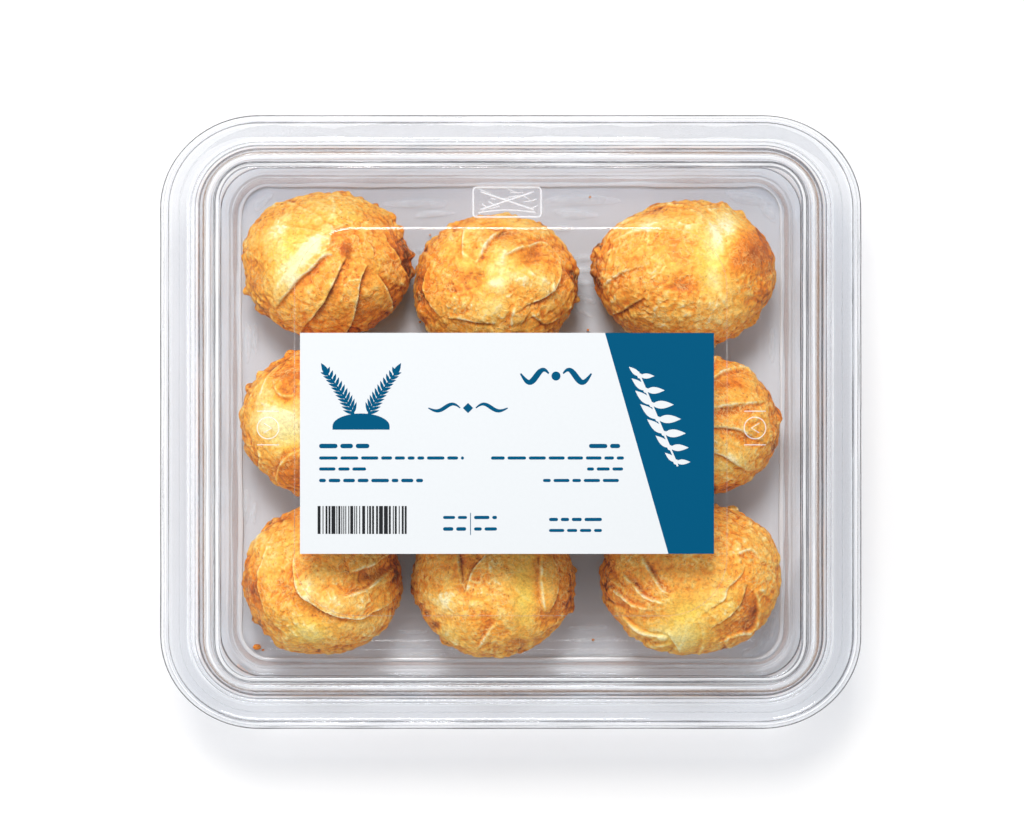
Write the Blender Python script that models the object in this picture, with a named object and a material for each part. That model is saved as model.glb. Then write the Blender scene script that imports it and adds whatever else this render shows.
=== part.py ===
"""Clear plastic pack with nine piped choux buns, shut, with a paper label on its lid.

Pieces: a thin thermoformed tray with a stepped wall and a flat rim, a thermoformed lid that
snaps over that rim, a paper label on the lid's raised panel, and nine domed choux buns with
piped folds, in three rows of three.

Frame: metres, +Z up, +X along the long side, +Y towards the side with the small crossed tab.
Origin on the underside of the tray, in the middle of the pack.
"""
import math

import bmesh
import bpy
import numpy as np
from mathutils import Vector

for old in list(bpy.data.objects):
    bpy.data.objects.remove(old, do_unlink=True)

MM = 0.001

# ---------------------------------------------------------------- driving sizes, millimetres
PACK_W = 240.0          # over the rim, along X
PACK_D = 210.0          # over the rim, along Y
CORNER_X = 34.0         # rim corner, half axis along X
CORNER_Y = 32.0         # rim corner, half axis along Y
INSET_Y = 0.87          # every step in from the rim is this much narrower along Y
CORNER_STEPS = 6        # flats round one corner
TRAY_WALL = 0.6         # tray sheet
LID_WALL = 0.5          # lid sheet
GAP = 0.3               # clearance between pieces that touch

# tray, underside: (step in from the rim, height)
TRAY_LINE = [
    (25.4, 0.0), (23.2, 0.5), (21.4, 2.4), (20.5, 5.4),
    (18.5, 18.6), (17.6, 19.7), (15.6, 20.3), (14.6, 21.4),
    (12.7, 31.2), (11.7, 32.6), (10.3, 33.1), (1.5, 33.1),
]
# lid, upper side: (step in from the rim, height)
LID_LINE = [
    (22.9, 58.0), (21.3, 57.2), (20.5, 55.2),
    (19.6, 51.2), (18.4, 50.2), (17.2, 49.6), (16.6, 48.4),
    (14.8, 38.8), (13.6, 37.5), (10.9, 36.8), (9.9, 34.8),
    (9.1, 34.5), (4.1, 34.5), (2.8, 35.3), (1.0, 35.0), (0.0, 29.4),
]
PANEL_W = 144.0         # raised panel on the lid
PANEL_D = 129.0
PANEL_R = 20.0
PANEL_UP = 0.6
TAB_W = 22.6            # small crossed tab on the lid
TAB_D = 9.8
TAB_AT = (-1.2, 73.2)
TAB_UP = 1.1
TAB_RIB = 1.0
LABEL_W = 137.7
LABEL_D = 73.5
LABEL_T = 0.25
LABEL_AT = (-1.25, -7.1)

BUN_FLOOR = TRAY_WALL + GAP
BELLY = 0.37            # height of the widest ring, as a part of the bun's height
FOOT = 0.70             # width of the flat underside, as a part of the bun's width


# ---------------------------------------------------------------- helpers
def material(name, rgb, rough, metal=0.0, alpha=1.0):
    mat = bpy.data.materials.new(name)
    mat.use_nodes = True
    shader = mat.node_tree.nodes["Principled BSDF"]
    shader.inputs["Base Color"].default_value = (*rgb, 1.0)
    shader.inputs["Roughness"].default_value = rough
    shader.inputs["Metallic"].default_value = metal
    shader.inputs["Alpha"].default_value = alpha
    return mat


def add_object(name, bm, mat):
    bmesh.ops.recalc_face_normals(bm, faces=bm.faces[:])
    mesh = bpy.data.meshes.new(name)
    bm.to_mesh(mesh)
    bm.free()
    mesh.materials.append(mat)
    obj = bpy.data.objects.new(name, mesh)
    bpy.context.scene.collection.objects.link(obj)
    return obj


def rounded_ring(half_x, half_y, rx, ry, steps=CORNER_STEPS):
    """Points of a rectangle with elliptical corners, anticlockwise from the +X side."""
    pts = []
    for quarter in range(4):
        sx = 1.0 if quarter in (0, 3) else -1.0
        sy = 1.0 if quarter in (0, 1) else -1.0
        cx, cy = sx * (half_x - rx), sy * (half_y - ry)
        for k in range(steps + 1):
            a = math.radians(90.0 * quarter + 90.0 * k / steps)
            pts.append((cx + rx * math.cos(a), cy + ry * math.sin(a)))
    return pts


def pack_ring(step_in, steps=CORNER_STEPS):
    """The pack's outline, moved in from the rim."""
    dy = step_in * INSET_Y
    return rounded_ring(PACK_W / 2 - step_in, PACK_D / 2 - dy,
                        max(CORNER_X - step_in, 4.0), max(CORNER_Y - dy, 4.0), steps)


def offset_line(line, t):
    """The same profile moved by t to its right-hand side (mitred corners)."""
    out = []
    for i, (d, z) in enumerate(line):
        nx, nz = 0.0, 0.0
        normals = []
        for a, b in ((i - 1, i), (i, i + 1)):
            if a < 0 or b >= len(line):
                continue
            ex, ez = line[b][0] - line[a][0], line[b][1] - line[a][1]
            length = math.hypot(ex, ez)
            normals.append((ez / length, -ex / length))
        for n in normals:
            nx += n[0]
            nz += n[1]
        length = math.hypot(nx, nz)
        nx, nz = nx / length, nz / length
        miter = 1.0 / max(nx * normals[0][0] + nz * normals[0][1], 0.5)
        out.append((d + nx * t * miter, z + nz * t * miter))
    return out


def loft(bm, rings):
    """Skin a list of rings (each a list of 3-D points) and cap the first and the last."""
    rows = [[bm.verts.new(Vector(p) * MM) for p in ring] for ring in rings]
    count = len(rows[0])
    for r0, r1 in zip(rows, rows[1:]):
        for k in range(count):
            k2 = (k + 1) % count
            bm.faces.new((r0[k], r0[k2], r1[k2], r1[k]))
    for row in (rows[0], rows[-1]):
        # strips across the flat end, from side to side
        n = len(row)
        for k in range(n // 2 - 1):
            a, b = row[k], row[k + 1]
            c, d = row[n - 2 - k], row[n - 1 - k]
            bm.faces.new((a, b, c, d))
    return rows


def block(bm, cx, cy, z0, z1, w, d, angle=0.0, taper=0.0):
    """A small rib: a rectangle with drafted sides, turned about Z."""
    ca, sa = math.cos(angle), math.sin(angle)
    rows = []
    for z, t in ((z0, 0.0), (z1, taper)):
        row = []
        for sx, sy in ((-1, -1), (1, -1), (1, 1), (-1, 1)):
            x, y = sx * (w / 2 - t), sy * (d / 2 - t)
            row.append(bm.verts.new(Vector((cx + x * ca - y * sa, cy + x * sa + y * ca, z)) * MM))
        rows.append(row)
    bm.faces.new(rows[0][::-1])
    bm.faces.new(rows[1])
    for k in range(4):
        k2 = (k + 1) % 4
        bm.faces.new((rows[0][k], rows[0][k2], rows[1][k2], rows[1][k]))


# ---------------------------------------------------------------- tray
def build_tray(mat):
    under = TRAY_LINE
    upper = offset_line(under, TRAY_WALL)
    # the flat floor and the rim keep the true sheet thickness straight up
    upper[0] = (under[0][0], under[0][1] + TRAY_WALL)
    upper[-1] = (under[-1][0], under[-1][1] + TRAY_WALL)
    upper[-2] = (under[-2][0] + 0.1, under[-2][1] + TRAY_WALL)
    rings = [[(x, y, z) for x, y in pack_ring(d)] for d, z in under]
    rings += [[(x, y, z) for x, y in pack_ring(d)] for d, z in reversed(upper)]
    bm = bmesh.new()
    loft(bm, rings)
    return add_object("tray", bm, mat)


# ---------------------------------------------------------------- lid
def build_lid(mat):
    upper = LID_LINE
    inner = offset_line(upper, -LID_WALL)
    inner[0] = (upper[0][0] + 0.1, upper[0][1] - LID_WALL)
    inner[-1] = (upper[-1][0] + LID_WALL, upper[-1][1])

    def panel(grow, z):
        return [(x, y, z) for x, y in rounded_ring(PANEL_W / 2 + grow, PANEL_D / 2 + grow,
                                                   PANEL_R + grow, PANEL_R + grow)]

    top = upper[0][1]
    rings = [panel(-0.5, top + PANEL_UP), panel(0.3, top)]
    rings += [[(x, y, z) for x, y in pack_ring(d)] for d, z in upper]
    rings += [[(x, y, z) for x, y in pack_ring(d)] for d, z in reversed(inner)]
    rings += [panel(0.0, top - LID_WALL), panel(-0.8, top + PANEL_UP - LID_WALL)]
    bm = bmesh.new()
    loft(bm, rings)
    lid = add_object("lid", bm, mat)

    # crossed tab: a low raised rectangle with two diagonal ribs on it
    x0, y0 = TAB_AT
    diagonal = math.hypot(TAB_W, TAB_D) - 4.0
    slope = math.atan2(TAB_D, TAB_W)
    bars = [
        (x0, y0, TAB_W, TAB_D, 0.0, TAB_UP * 0.5),
        (x0, y0, diagonal, TAB_RIB, slope, TAB_UP),
        (x0, y0, diagonal, TAB_RIB, -slope, TAB_UP * 0.88),
    ]
    for i, (cx, cy, w, d, turn, up) in enumerate(bars):
        bm = bmesh.new()
        block(bm, cx, cy, top - LID_WALL * 0.5, top + up, w, d, turn, 0.15)
        cutter = add_object("tab_rib_%d" % i, bm, mat)
        cutter.hide_render = True
        cutter.display_type = "WIRE"
        add = lid.modifiers.new("tab_%d" % i, "BOOLEAN")
        add.operation = "UNION"
        add.solver = "EXACT"
        add.object = cutter
    return lid


# ---------------------------------------------------------------- label
def build_label(mat):
    z0 = LID_LINE[0][1] + PANEL_UP + GAP
    bm = bmesh.new()
    block(bm, LABEL_AT[0], LABEL_AT[1], z0, z0 + LABEL_T, LABEL_W, LABEL_D)
    return add_object("label", bm, mat)


# ---------------------------------------------------------------- buns
# Each bun: middle (x, y), width, depth, height, where its piped swirl ends (as parts of the
# half sizes), how far the folds turn, folds in a full turn, fold depth, and the shape's seed.
BUNS = {
    "bun_1": dict(at=(-63.9, 54.5), size=(58.8, 50.8, 42.5), eye=(0.25, 0.19), twist=0.55, folds=13, deep=2.3, seed=11),
    "bun_2": dict(at=(-5.0, 46.8), size=(57.6, 51.6, 42.0), eye=(0.02, 0.20), twist=-0.80, folds=11, deep=2.0, seed=22),
    "bun_3": dict(at=(60.6, 51.8), size=(63.6, 51.2, 43.0), eye=(0.30, -0.05), twist=0.90, folds=9, deep=1.7, seed=33),
    "bun_4": dict(at=(-64.8, 0.2), size=(58.6, 52.2, 42.0), eye=(-0.10, -0.02), twist=0.60, folds=10, deep=1.6, seed=44),
    "bun_5": dict(at=(-3.4, -4.6), size=(57.0, 48.8, 41.0), eye=(0.05, 0.05), twist=0.70, folds=12, deep=2.0, seed=55),
    "bun_6": dict(at=(64.0, -1.0), size=(59.4, 50.0, 42.0), eye=(-0.05, 0.02), twist=0.50, folds=13, deep=1.9, seed=66),
    "bun_7": dict(at=(-65.6, -55.0), size=(55.6, 52.0, 42.5), eye=(0.28, 0.24), twist=1.60, folds=8, deep=2.4, seed=77),
    "bun_8": dict(at=(-5.9, -56.2), size=(57.0, 51.4, 42.0), eye=(0.04, 0.42), twist=0.35, folds=12, deep=1.9, seed=88),
    "bun_9": dict(at=(62.7, -54.4), size=(63.0, 52.8, 42.5), eye=(-0.20, -0.28), twist=-0.75, folds=13, deep=2.3, seed=99),
}


def outline(theta, seed):
    """How far the bun's plan reaches in this direction, about 1, uneven as piped by hand."""
    r = 1.0
    for k, amp in ((2, 0.008), (3, 0.010), (4, 0.007), (5, 0.006), (7, 0.005)):
        r += amp * math.cos(k * theta + seed * (0.7 + 0.31 * k))
    return r


def fold_wave(phase):
    """A lapped fold: up a steep edge, then down a long back."""
    u = phase - math.floor(phase)
    if u < 0.22:
        return math.sin(u / 0.22 * math.pi / 2)
    return math.cos((u - 0.22) / 0.78 * math.pi / 2)


def build_bun(name, spec, mat):
    (bx, by), (w, d, h) = spec["at"], spec["size"]
    seed = spec["seed"]
    count = 4 * spec["folds"]
    # the uneven outline is scaled and moved so that it fills the stated width and depth
    full = [2.0 * math.pi * i / 360 for i in range(360)]
    xs = [outline(t, seed) * math.cos(t) for t in full]
    ys = [outline(t, seed) * math.sin(t) for t in full]
    a, b = w / (max(xs) - min(xs)), d / (max(ys) - min(ys))
    bx -= a * (max(xs) + min(xs)) / 2
    by -= b * (max(ys) + min(ys)) / 2
    ex, ey = spec["eye"][0] * a, spec["eye"][1] * b
    reach = [0.17, 0.38, 0.60, 0.81, 1.0]
    bm = bmesh.new()

    def edge_point(theta):
        r = outline(theta, seed)
        return a * r * math.cos(theta), b * r * math.sin(theta)

    def dome(x, y, theta):
        q = math.hypot(x / a, y / b) / outline(theta, seed)
        q = min(q, 1.0)
        return h * (BELLY + (1.0 - BELLY) * (1.0 - q ** 2.3) ** 0.55)

    rows = []
    for j, t in enumerate(reach):
        row = []
        for i in range(count):
            turn = 2.0 * math.pi * i / count
            theta = turn + spec["twist"] * (t - 1.0)
            px, py = edge_point(theta)
            x, y = ex + (px - ex) * t, ey + (py - ey) * t
            where = math.atan2(y / b, x / a)
            lift = spec["deep"] * (fold_wave(spec["folds"] * turn / (2 * math.pi) + 0.1 * seed) - 0.5)
            lift *= math.sin(min(t / 0.45, 1.0) * math.pi / 2) * (1.0 - 0.55 * t ** 3)
            z = dome(x, y, where) + lift * (1.0 - t ** 6)
            if j == len(reach) - 1:
                x *= 1.0 + 0.006 * (lift - 0.5 * spec["deep"])
                y *= 1.0 + 0.006 * (lift - 0.5 * spec["deep"])
            row.append(bm.verts.new(Vector((bx + x, by + y, BUN_FLOOR + z)) * MM))
        rows.append(row)
    for z, shrink in ((h * BELLY * 0.42, 0.955), (h * 0.035, 0.83), (0.0, FOOT)):
        row = []
        for i in range(count):
            px, py = edge_point(2.0 * math.pi * i / count)
            row.append(bm.verts.new(Vector((bx + px * shrink, by + py * shrink, BUN_FLOOR + z)) * MM))
        rows.append(row)
    crown = bm.verts.new(Vector((bx + ex, by + ey, BUN_FLOOR + dome(ex, ey, 0.0) + 0.5)) * MM)
    for i in range(count):
        bm.faces.new((crown, rows[0][i], rows[0][(i + 1) % count]))
    for r0, r1 in zip(rows, rows[1:]):
        for i in range(count):
            i2 = (i + 1) % count
            bm.faces.new((r0[i], r1[i], r1[i2], r0[i2]))
    last = rows[-1]
    n = len(last)
    for k in range(n // 2 - 1):
        bm.faces.new((last[k], last[k + 1], last[n - 2 - k], last[n - 1 - k]))
    obj = add_object(name, bm, mat)
    obj.data.shade_smooth()
    return obj


# ---------------------------------------------------------------- the pack
clear = material("clear_plastic", (0.90, 0.92, 0.94), 0.06, alpha=0.25)
paper = material("label_paper", (0.93, 0.95, 0.97), 0.55)
crust = material("golden_crust", (0.76, 0.42, 0.12), 0.72)

build_tray(clear)
build_lid(clear)
build_label(paper)
for bun_name, bun_spec in BUNS.items():
    build_bun(bun_name, bun_spec, crust)
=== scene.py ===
"""Looks of a clear plastic pack of piped choux buns, seen from above on a pale floor."""
import math

import bmesh
import bpy
import numpy as np
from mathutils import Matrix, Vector


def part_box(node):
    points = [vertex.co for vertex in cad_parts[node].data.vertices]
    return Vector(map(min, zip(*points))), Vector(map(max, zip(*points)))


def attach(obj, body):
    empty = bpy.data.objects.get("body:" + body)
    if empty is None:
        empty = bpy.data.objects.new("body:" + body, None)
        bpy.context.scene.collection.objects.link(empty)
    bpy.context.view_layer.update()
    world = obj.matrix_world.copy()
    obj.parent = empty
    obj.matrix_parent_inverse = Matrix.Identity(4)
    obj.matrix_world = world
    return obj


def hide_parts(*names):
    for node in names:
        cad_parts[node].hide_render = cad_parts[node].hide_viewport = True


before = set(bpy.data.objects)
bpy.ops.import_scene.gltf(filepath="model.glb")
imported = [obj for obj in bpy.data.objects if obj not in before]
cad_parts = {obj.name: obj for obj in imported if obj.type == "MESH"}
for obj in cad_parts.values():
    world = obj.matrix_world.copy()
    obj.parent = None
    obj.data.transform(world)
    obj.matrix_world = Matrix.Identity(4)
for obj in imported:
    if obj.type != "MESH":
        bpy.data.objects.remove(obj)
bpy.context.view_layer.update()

MM = 0.001
scene = bpy.context.scene

# ------------------------------------------------------------------ photograph to pack plane
PX = 0.346e-3 / MM          # millimetres a pixel covers at the height of the buns
MID = (510.75, 422.0)       # the pack's middle in the photograph


def at(px, py, scale=PX):
    """Millimetres from the pack's middle for a point of the photograph."""
    return (px - MID[0]) * scale, (MID[1] - py) * scale


def lin(r, g, b):
    """sRGB 0..255 to linear 0..1."""
    out = []
    for c in (r, g, b):
        c /= 255.0
        out.append(c / 12.92 if c <= 0.04045 else ((c + 0.055) / 1.055) ** 2.4)
    return tuple(out)


def smooth(a, b, x):
    t = np.clip((x - a) / (b - a), 0.0, 1.0)
    return t * t * (3.0 - 2.0 * t)


# ------------------------------------------------------------------ noise on arrays of points
class Noise:
    def __init__(self, seed):
        rng = np.random.default_rng(seed)
        self.p = rng.permutation(256)
        g = rng.normal(size=(256, 3))
        self.g = g / np.linalg.norm(g, axis=1, keepdims=True)
        self.j = rng.random((256, 3))

    def cell(self, i, j, k):
        p = self.p
        return p[(p[(p[i & 255] + j) & 255] + k) & 255]

    def grad(self, pts):
        base = np.floor(pts).astype(np.int64)
        f = pts - base
        u = f * f * f * (f * (f * 6 - 15) + 10)
        out = np.zeros(len(pts))
        for dx in (0, 1):
            for dy in (0, 1):
                for dz in (0, 1):
                    h = self.cell(base[:, 0] + dx, base[:, 1] + dy, base[:, 2] + dz)
                    v = f - np.array([dx, dy, dz])
                    w = (np.abs(1 - dx - u[:, 0]) * np.abs(1 - dy - u[:, 1]) * np.abs(1 - dz - u[:, 2]))
                    out += w * np.einsum("ij,ij->i", self.g[h], v)
        return out * 1.6

    def fbm(self, pts, size, octaves=3, gain=0.5):
        out = np.zeros(len(pts))
        amp, total = 1.0, 0.0
        for k in range(octaves):
            out += amp * self.grad(pts / size + 17.3 * k)
            total += amp
            amp *= gain
            size /= 2.03
        return out / total

    def web(self, pts, size, sharp=5.0):
        """Thin curly raised lines, 0..1."""
        warp = np.stack([self.grad(pts / (size * 1.9) + s) for s in (3.1, 41.7, 83.9)], axis=1)
        return np.clip(1.0 - np.abs(self.grad(pts / size + 0.55 * warp)) * 1.5, 0, 1) ** sharp

    def cells(self, pts, size):
        """Distances to the nearest and second nearest of scattered points."""
        q = pts / size
        base = np.floor(q).astype(np.int64)
        f1 = np.full(len(pts), 9.0)
        f2 = np.full(len(pts), 9.0)
        for dx in (-1, 0, 1):
            for dy in (-1, 0, 1):
                for dz in (-1, 0, 1):
                    c = base + np.array([dx, dy, dz])
                    h = self.cell(c[:, 0], c[:, 1], c[:, 2])
                    d = np.linalg.norm(c + self.j[h] - q, axis=1)
                    nearer = d < f1
                    f2 = np.where(nearer, f1, np.minimum(f2, d))
                    f1 = np.where(nearer, d, f1)
        return f1, f2


# ------------------------------------------------------------------ buns
BUN_FLOOR = 0.9
BELLY = 0.37
FOOT = 0.70

BUNS = {
    "bun_1": dict(at=(-63.9, 54.5), size=(58.8, 50.8, 42.5), eye=(0.25, 0.19), twist=0.55, folds=13, deep=2.3, seed=11),
    "bun_2": dict(at=(-5.0, 46.8), size=(57.6, 51.6, 42.0), eye=(0.02, 0.20), twist=-0.80, folds=11, deep=2.0, seed=22),
    "bun_3": dict(at=(60.6, 51.8), size=(63.6, 51.2, 43.0), eye=(0.30, -0.05), twist=0.90, folds=9, deep=1.7, seed=33),
    "bun_4": dict(at=(-64.8, 0.2), size=(58.6, 52.2, 42.0), eye=(-0.10, -0.02), twist=0.60, folds=10, deep=1.6, seed=44),
    "bun_5": dict(at=(-3.4, -4.6), size=(57.0, 48.8, 41.0), eye=(0.05, 0.05), twist=0.70, folds=12, deep=2.0, seed=55),
    "bun_6": dict(at=(64.0, -1.0), size=(59.4, 50.0, 42.0), eye=(-0.05, 0.02), twist=0.50, folds=13, deep=1.9, seed=66),
    "bun_7": dict(at=(-65.6, -55.0), size=(55.6, 52.0, 42.5), eye=(0.28, 0.24), twist=1.60, folds=8, deep=2.4, seed=77),
    "bun_8": dict(at=(-5.9, -56.2), size=(57.0, 51.4, 42.0), eye=(0.04, 0.42), twist=0.35, folds=12, deep=1.9, seed=88),
    "bun_9": dict(at=(62.7, -54.4), size=(63.0, 52.8, 42.5), eye=(-0.20, -0.28), twist=-0.75, folds=13, deep=2.3, seed=99),
}

# Lapped folds that show from above: (height in mm, points along the fold's edge in the photograph).
# The raised side is on the left of the way the points run; a minus height puts it on the right.
FOLDS = {
    "bun_1": [
        (-2.4, [(338, 258), (328, 261), (317, 270), (305, 281), (292, 294), (278, 309)]),
        (-2.8, [(349, 260), (345, 268), (336, 289), (329, 301), (320, 313), (309, 324), (298, 335)]),
        (-3.0, [(369, 268), (364, 279), (361, 292), (357, 309), (352, 324), (345, 337)]),
        (-2.4, [(380, 276), (386, 286), (391, 303), (388, 318), (380, 330), (368, 340)]),
        (-2.2, [(385, 234), (391, 249), (400, 264), (407, 280), (406, 297), (397, 310)]),
        (1.0, [(334, 249), (336, 236), (348, 230), (362, 233)]),
        (-1.0, [(368, 244), (375, 252), (374, 262)]),
    ],
    "bun_2": [
        (1.3, [(467, 228), (463, 244), (464, 261)]),
        (-2.4, [(505, 228), (490, 246), (476, 266)]),
        (1.6, [(504, 260), (517, 253), (531, 248), (541, 242)]),
        (-2.4, [(524, 252), (542, 243), (556, 256), (560, 273), (552, 290), (539, 301), (522, 309)]),
        (-2.0, [(566, 268), (573, 288), (570, 304), (557, 319), (545, 324), (530, 317)]),
        (1.3, [(517, 304), (511, 317), (512, 334)]),
        (-1.1, [(530, 312), (519, 328)]),
        (1.6, [(432, 262), (426, 282), (429, 302), (442, 318)]),
        (1.2, [(447, 318), (470, 322), (496, 326)]),
    ],
    "bun_3": [
        (1.4, [(602, 289), (620, 276), (642, 268)]),
        (1.4, [(612, 246), (633, 235), (657, 235)]),
        (1.1, [(598, 262), (610, 238), (638, 217)]),
        (1.6, [(605, 317), (622, 311), (643, 299)]),
        (1.2, [(640, 212), (662, 206), (690, 210)]),
    ],
    "bun_4": [
        (1.4, [(296, 356), (272, 375), (262, 398)]),
        (-1.5, [(300, 398), (284, 396), (276, 380)]),
        (1.4, [(305, 447), (284, 462), (276, 486)]),
        (1.2, [(262, 452), (258, 472), (268, 488)]),
    ],
    "bun_5": [
        (1.8, [(505, 425), (482, 440), (462, 462)]),
        (1.8, [(515, 430), (510, 455), (492, 480)]),
        (-1.8, [(520, 420), (545, 410), (565, 392)]),
    ],
    "bun_6": [
        (1.8, [(700, 388), (724, 372), (752, 370)]),
        (1.8, [(690, 412), (728, 406), (764, 402)]),
        (1.8, [(690, 428), (725, 428), (760, 440)]),
        (1.5, [(695, 446), (724, 458), (748, 474)]),
        (1.4, [(690, 396), (706, 372), (716, 358)]),
    ],
    "bun_7": [
        (2.6, [(300, 548), (297, 570), (304, 589), (321, 603), (341, 612), (356, 615), (374, 609), (390, 600), (402, 586)]),
        (-1.9, [(346, 594), (355, 591), (372, 583), (396, 565)]),
        (1.7, [(352, 569), (372, 565), (394, 549)]),
        (1.8, [(330, 644), (358, 640), (380, 633), (396, 618)]),
        (1.2, [(272, 545), (262, 575), (268, 606), (288, 630)]),
    ],
    "bun_8": [
        (-1.9, [(459, 545), (461, 582)]),
        (1.7, [(487, 552), (474, 567), (466, 590)]),
        (1.6, [(541, 548), (541, 590), (545, 612)]),
        (-1.7, [(552, 556), (557, 580), (549, 611)]),
        (1.7, [(531, 636), (550, 626), (569, 610)]),
        (1.2, [(497, 618), (486, 632), (476, 646)]),
    ],
    "bun_9": [
        (2.3, [(662, 600), (649, 596), (637, 588), (622, 569)]),
        (2.0, [(646, 606), (632, 601), (620, 592), (609, 586)]),
        (2.2, [(667, 590), (658, 583), (648, 569), (639, 553)]),
        (-2.0, [(622, 613), (635, 625), (649, 631), (666, 635)]),
        (-1.6, [(636, 638), (654, 643), (672, 641)]),
        (1.4, [(665, 629), (674, 641), (680, 652)]),
        (-1.8, [(744, 582), (738, 598), (725, 612), (708, 626)]),
        (1.7, [(750, 588), (756, 602), (756, 618), (748, 629), (733, 633), (714, 643)]),
        (-1.0, [(741, 560), (736, 574), (724, 584), (717, 597), (698, 612)]),
        (1.3, [(733, 552), (747, 549), (757, 560)]),
    ],
}

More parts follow.
